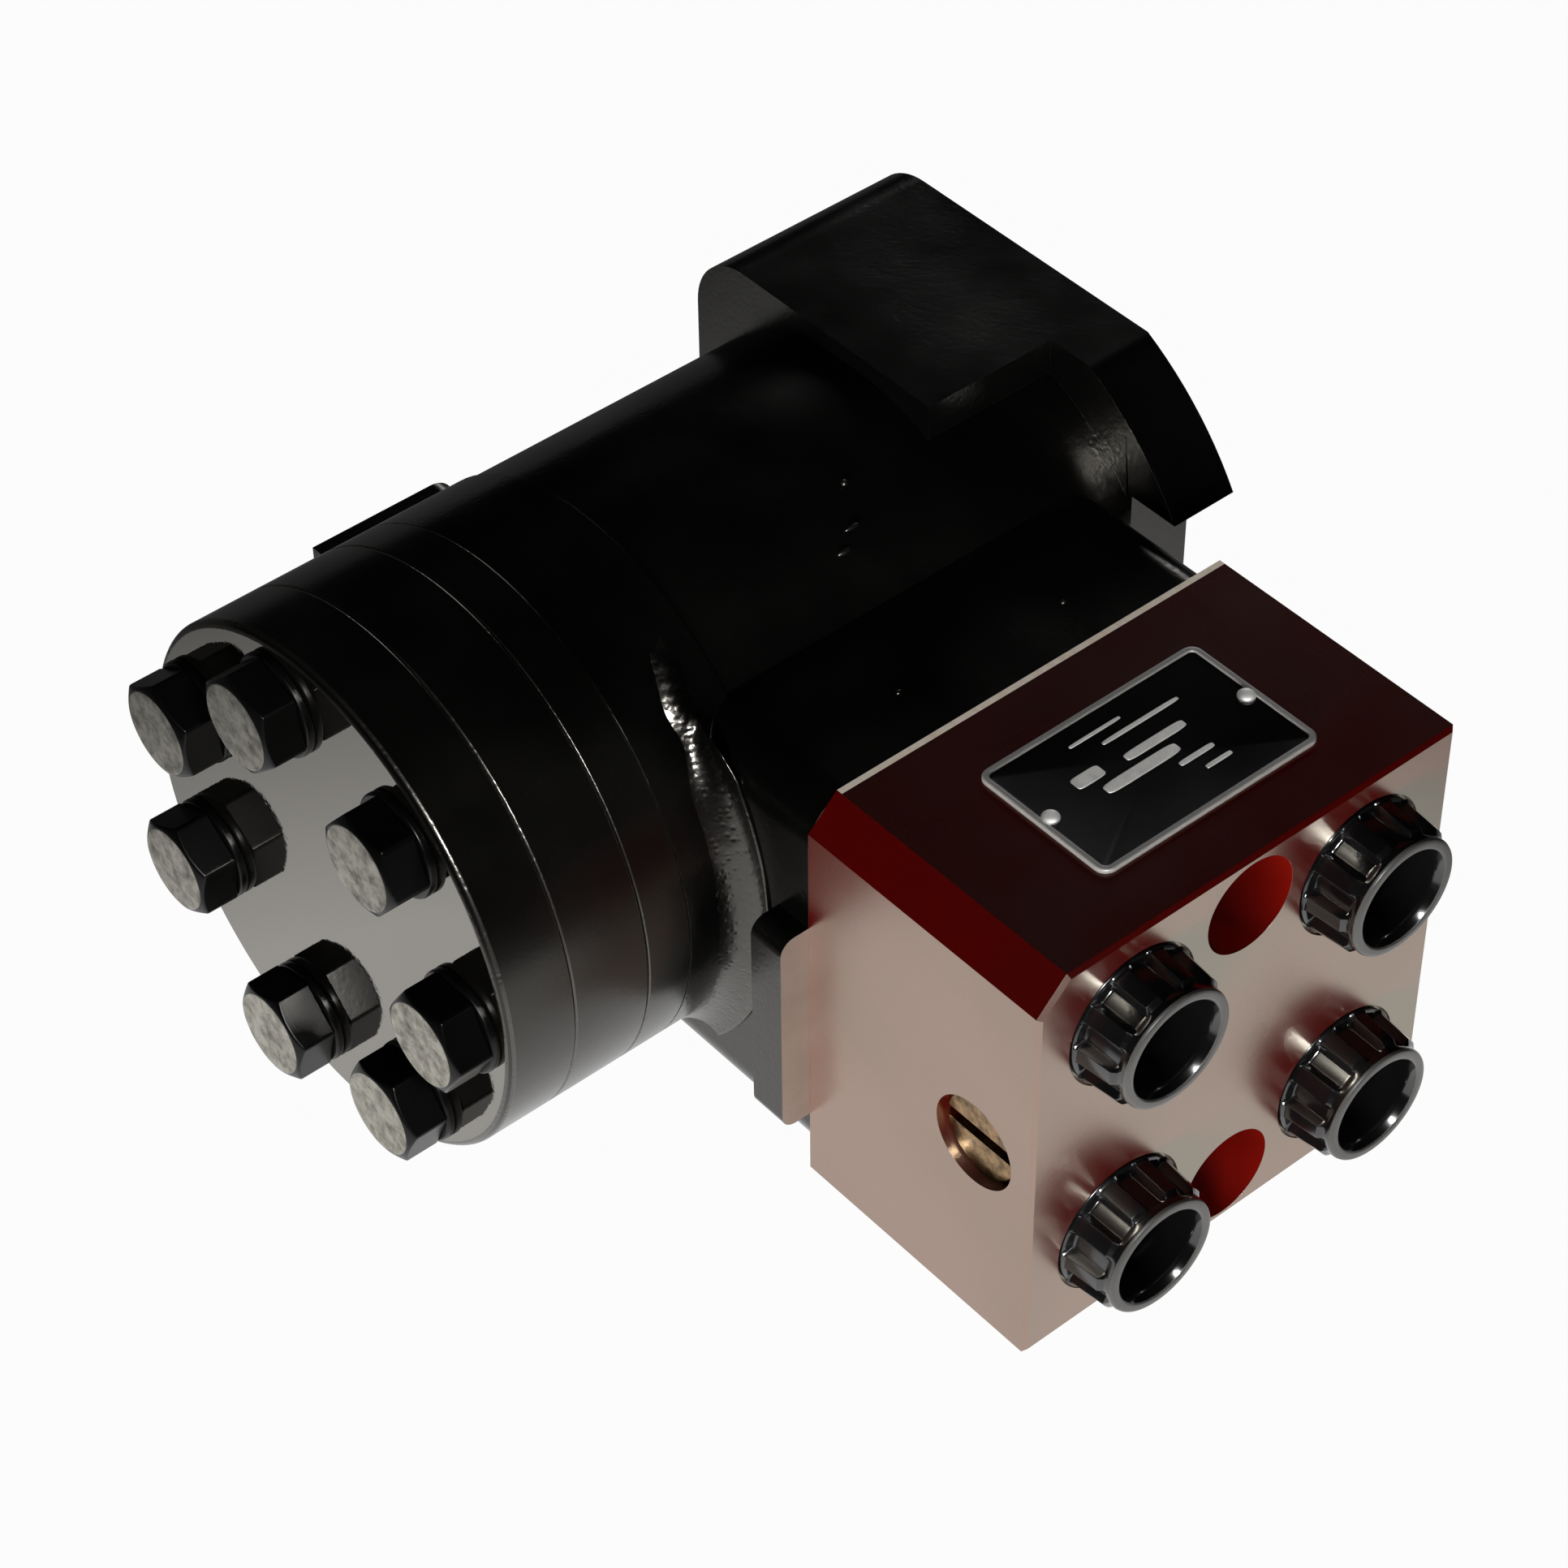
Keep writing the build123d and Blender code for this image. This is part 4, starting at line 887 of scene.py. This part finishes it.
# %% [markdown]
# The nameplate is pressed sheet: a raised bright border round a black field. Its surface is a
# rounded rectangle that steps inwards, each step with its own height. It carries no words,
# only the blank windows that such a plate has for stamped numbers.

# %% Nameplate
PLATE = {"x": -64.5, "y": -98.9, "z": 37.4, "length": 51.5, "width": 32.0, "corner": 2.5}
FIELD_HEIGHT = 0.45             # of the black field above the block
PLATE_STEPS = [                 # inset from the plate's edge, height above the block
    (0, 0), (0, 0.5), (0.12, 0.72), (0.35, 0.8),
    (1.05, 0.8), (1.25, 0.72), (1.35, 0.5), (1.6, FIELD_HEIGHT),
]


def rounded_loop(inset, height, corner_turns=12):
    """Closed rounded rectangle, inset from the plate's edge, at a height above the block.

    Each corner is an arc about its own centre; past the corner's radius the centre moves in.
    """
    arc = max(PLATE["corner"] - inset, 0.02)
    reach = np.array((PLATE["length"], PLATE["width"])) / 2 - inset - arc
    angle = np.arange(4)[:, None] * np.pi / 2 + np.linspace(0, np.pi / 2, corner_turns)
    sign_x = np.array((1, -1, -1, 1))[:, None]
    sign_y = np.array((1, 1, -1, -1))[:, None]
    x = PLATE["x"] + sign_x * reach[0] + arc * np.cos(angle)
    y = PLATE["y"] + sign_y * reach[1] + arc * np.sin(angle)
    z = np.full_like(x, PLATE["z"] + height)
    return np.stack((x, y, z), axis=-1).reshape(-1, 3) * MM


def closed_by_middle(loops):
    """Adds a first and a last row that shrink to the plate's middle."""
    first = np.broadcast_to(loops[0].mean(axis=0), loops[0].shape)
    last = np.broadcast_to(loops[-1].mean(axis=0), loops[-1].shape)
    return np.stack((first, *loops, last))


plate_rows = closed_by_middle([rounded_loop(inset, height) for inset, height in PLATE_STEPS])
plate_bands = np.array([0] * 7 + [1, 1])        # bright border, then the black field
plate = grid_piece("plate", [plate_rows], plate_bands)
finish_piece(plate, "nameplate", ["plate_aluminium", "plate_ink"])
print("plate faces:", len(plate.data.polygons))

# %% [markdown]
# The blank windows are low pads of bright metal with soft sides: each is a rounded loop that
# shrinks to its middle as it rises. Text objects could fill them, but they stay blank here.

# %% Plate windows
WINDOWS = [
    # off the plate's middle along x and along -y, half length, half width
    (-3.0, 1.2, 8.5, 1.3),
    (3.5, -2.4, 7.0, 1.0),
    (6.5, 4.8, 4.0, 0.6),
    (-11.5, -3.2, 3.2, 1.5),
    (8.5, 8.2, 3.0, 0.5),
    (5.0, -7.6, 9.0, 0.5),
    (-3.0, -10.6, 6.0, 0.4),
]
PAD_HEIGHT = 0.12


def pad_grid(along, across, half_length, half_width, turns=40):
    """Loops of a superellipse, |x / a|^n + |y / b|^n = 1 with n = 6, that shrink and rise."""
    angle = np.linspace(0, 2 * np.pi, turns, endpoint=False)
    unit = (np.abs(np.cos(angle)) ** 6 + np.abs(np.sin(angle)) ** 6) ** (-1 / 6)
    share = np.array([0.0, 0.5, 0.8, 0.93, 1.0, 1.0, 0.0])[:, None]
    rise = np.array([1.0, 0.95, 0.75, 0.4, 0.0, -0.5, -0.5])[:, None] * PAD_HEIGHT
    x = PLATE["x"] + along + share * half_length * unit * np.cos(angle)
    y = PLATE["y"] - across + share * half_width * unit * np.sin(angle)
    z = PLATE["z"] + FIELD_HEIGHT + rise + 0 * x
    return np.stack((x, y, z), axis=-1) * MM


windows = grid_piece("plate_windows", [pad_grid(*window) for window in WINDOWS])
finish_piece(windows, "nameplate", "rivet_metal", stands_for=False)
print("windows:", len(WINDOWS))

# %% [markdown]
# Two drive rivets hold the plate. Each head is a dome: a quarter ellipse turned about the
# rivet's own axis, with a short rim that is sunk into the plate.

# %% Rivets
RIVET_X = (PLATE["x"] - 23.15, PLATE["x"] + 23.15)
RIVET_Z = 38.2                  # top of the plate's border
RIVET_RADIUS, RIVET_RISE, RIVET_SUNK = 1.7, 0.75, 0.3
slope = np.linspace(0, np.pi / 2, 9)[::-1, None]
turns = np.ones((1, 32))
dome_radius = np.vstack((RIVET_RADIUS * np.cos(slope), [[RIVET_RADIUS]], [[0.0]])) * turns
dome_height = np.vstack((RIVET_RISE * np.sin(slope), [[-RIVET_SUNK]], [[-RIVET_SUNK]])) * turns
domes = [
    around(dome_height, dome_radius, (x, PLATE["y"], RIVET_Z), (0, 0, 1), (1, 0, 0))
    for x in RIVET_X
]
rivets = grid_piece("rivet_domes", domes)
finish_piece(rivets, "nameplate_rivets", "rivet_metal")
print("rivets:", len(domes))

# %% [markdown]
# ## Studio
# Polished pieces are shot by what they mirror. The camera sees a white floor. The gloss sees
# the same floor, but bright only in a pool round the unit and dim beyond it, so that upright
# faces mirror white low down and go dark above. A light tent would be simpler and would make
# every face grey.

# %% Floor
FLOOR_SIZE, FLOOR_GAP = 6.0, 0.0002             # metres
FLOOR_SHOWN = 0.97                              # share of plain white that the rays see
POOL_MIDDLE = (-0.13, -0.10, 0.0)
POOL_NEAR, POOL_FAR, POOL_EDGE = 0.15, 0.28, 0.06       # full to here, this dim from there
WHITE, BLACK = (1, 1, 1, 1), (0, 0, 0, 1)
SEEING_RAYS = ("Is Camera Ray", "Is Glossy Ray", "Is Transmission Ray")

bpy.ops.mesh.primitive_plane_add(size=FLOOR_SIZE, location=(0, 0, cad_low.z - FLOOR_GAP))
floor = bpy.context.object
floor.name = "floor"
print("floor height in metres:", floor.location.z)


def ray_share(tree, kinds):
    """1 for a ray of one of these kinds, otherwise 0."""
    path = tree.nodes.new("ShaderNodeLightPath")
    total = path.outputs[kinds[0]]
    for kind in kinds[1:]:
        total = maths(tree, "MAXIMUM", total, path.outputs[kind])
    return total


# %% [markdown]
# The floor is matte for the light that falls on it, which keeps the unit's shadow and its
# soft bounce, and glows white for the rays that look at it.

# %% Floor material
floor_material = bpy.data.materials.new("floor")
floor_material.use_nodes = True
tree = floor_material.node_tree
matte = tree.nodes["Principled BSDF"]
matte.inputs["Base Color"].default_value = (0.86, 0.85, 0.83, 1)
matte.inputs["Roughness"].default_value = 0.9
white = tree.nodes.new("ShaderNodeEmission")
white.inputs["Strength"].default_value = 1.0
mix = tree.nodes.new("ShaderNodeMixShader")
place = tree.nodes.new("ShaderNodeTexCoord")
reach = tree.nodes.new("ShaderNodeVectorMath")
reach.operation = "DISTANCE"
reach.inputs[1].default_value = POOL_MIDDLE
tree.links.new(place.outputs["Object"], reach.inputs[0])
pool = spread(tree, reach.outputs["Value"], POOL_NEAR, POOL_FAR, 1.0, POOL_EDGE)
mirrored = blend(tree, pool, BLACK, WHITE)
shown = blend(tree, ray_share(tree, ("Is Camera Ray",)), mirrored, WHITE)
seeing = maths(tree, "MULTIPLY", ray_share(tree, SEEING_RAYS), FLOOR_SHOWN)
tree.links.new(shown, white.inputs["Color"])
tree.links.new(seeing, mix.inputs[0])
tree.links.new(matte.outputs[0], mix.inputs[1])
tree.links.new(white.outputs[0], mix.inputs[2])
tree.links.new(mix.outputs[0], tree.nodes["Material Output"].inputs["Surface"])
floor.data.materials.append(floor_material)
print("floor finished:", floor_material.name)

# %% [markdown]
# Above the floor the room is nearly black, so that the tops of the black pieces stay black.
# The camera itself sees white there. A sky texture would put its blue into every gloss.

# %% World
CEILING = (0.003, 0.003, 0.003, 1)
HORIZON = (0.02, 0.02, 0.02, 1)
DUSK = (-0.04, 0.06)            # the horizon turns into the ceiling between these heights
world = bpy.data.worlds.new("studio")
bpy.context.scene.world = world
world.use_nodes = True
tree = world.node_tree
place = tree.nodes.new("ShaderNodeTexCoord")
split = tree.nodes.new("ShaderNodeSeparateXYZ")
tree.links.new(place.outputs["Generated"], split.inputs[0])
height = spread(tree, split.outputs["Z"], *DUSK, 0.0, 1.0)
room = blend(tree, height, HORIZON, CEILING)
seen = blend(tree, ray_share(tree, ("Is Camera Ray",)), room, WHITE)
tree.links.new(seen, tree.nodes["Background"].inputs["Color"])
print("world:", world.name)

# %% [markdown]
# A long lamp low on the left lights the upright faces, and a weak one overhead keeps the tops
# readable. Gloss doesn't see these two. It does see a faint kicker from behind, which draws
# the plate, and a small flash above the camera, which only makes sparks.

# %% Lamps
def area_lamp(name, direction, distance, size, power, colour=(1, 1, 1),
              in_gloss=False, in_colour=True):
    """Rectangular lamp at a direction and distance from the unit's middle, facing it."""
    data = bpy.data.lights.new(name, "AREA")
    data.shape = "RECTANGLE"
    data.size, data.size_y = size
    data.energy = power
    data.color = colour
    lamp = bpy.data.objects.new(name, data)
    bpy.context.scene.collection.objects.link(lamp)
    aim = Vector(direction).normalized()
    lamp.location = (cad_low + cad_high) / 2 + aim * distance
    lamp.rotation_mode = "QUATERNION"
    lamp.rotation_quaternion = aim.to_track_quat("Z", "Y")
    lamp.visible_glossy = in_gloss
    lamp.visible_diffuse = in_colour
    print("lamp:", name, power, "W")


area_lamp("side_light", (-0.75, -0.60, 0.04), 1.6, (0.9, 0.2), 18, colour=(1, 0.96, 0.92))
area_lamp("overhead", (0.2, 0.3, 1.0), 1.6, (1.2, 1.2), 1.3)
area_lamp("kicker", (0.75, 0.62, 0.30), 1.6, (0.5, 0.4), 2, in_gloss=True)
area_lamp("flash", (-0.36, -0.66, 0.69), 0.95, (0.08, 0.08), 8, in_gloss=True, in_colour=False)
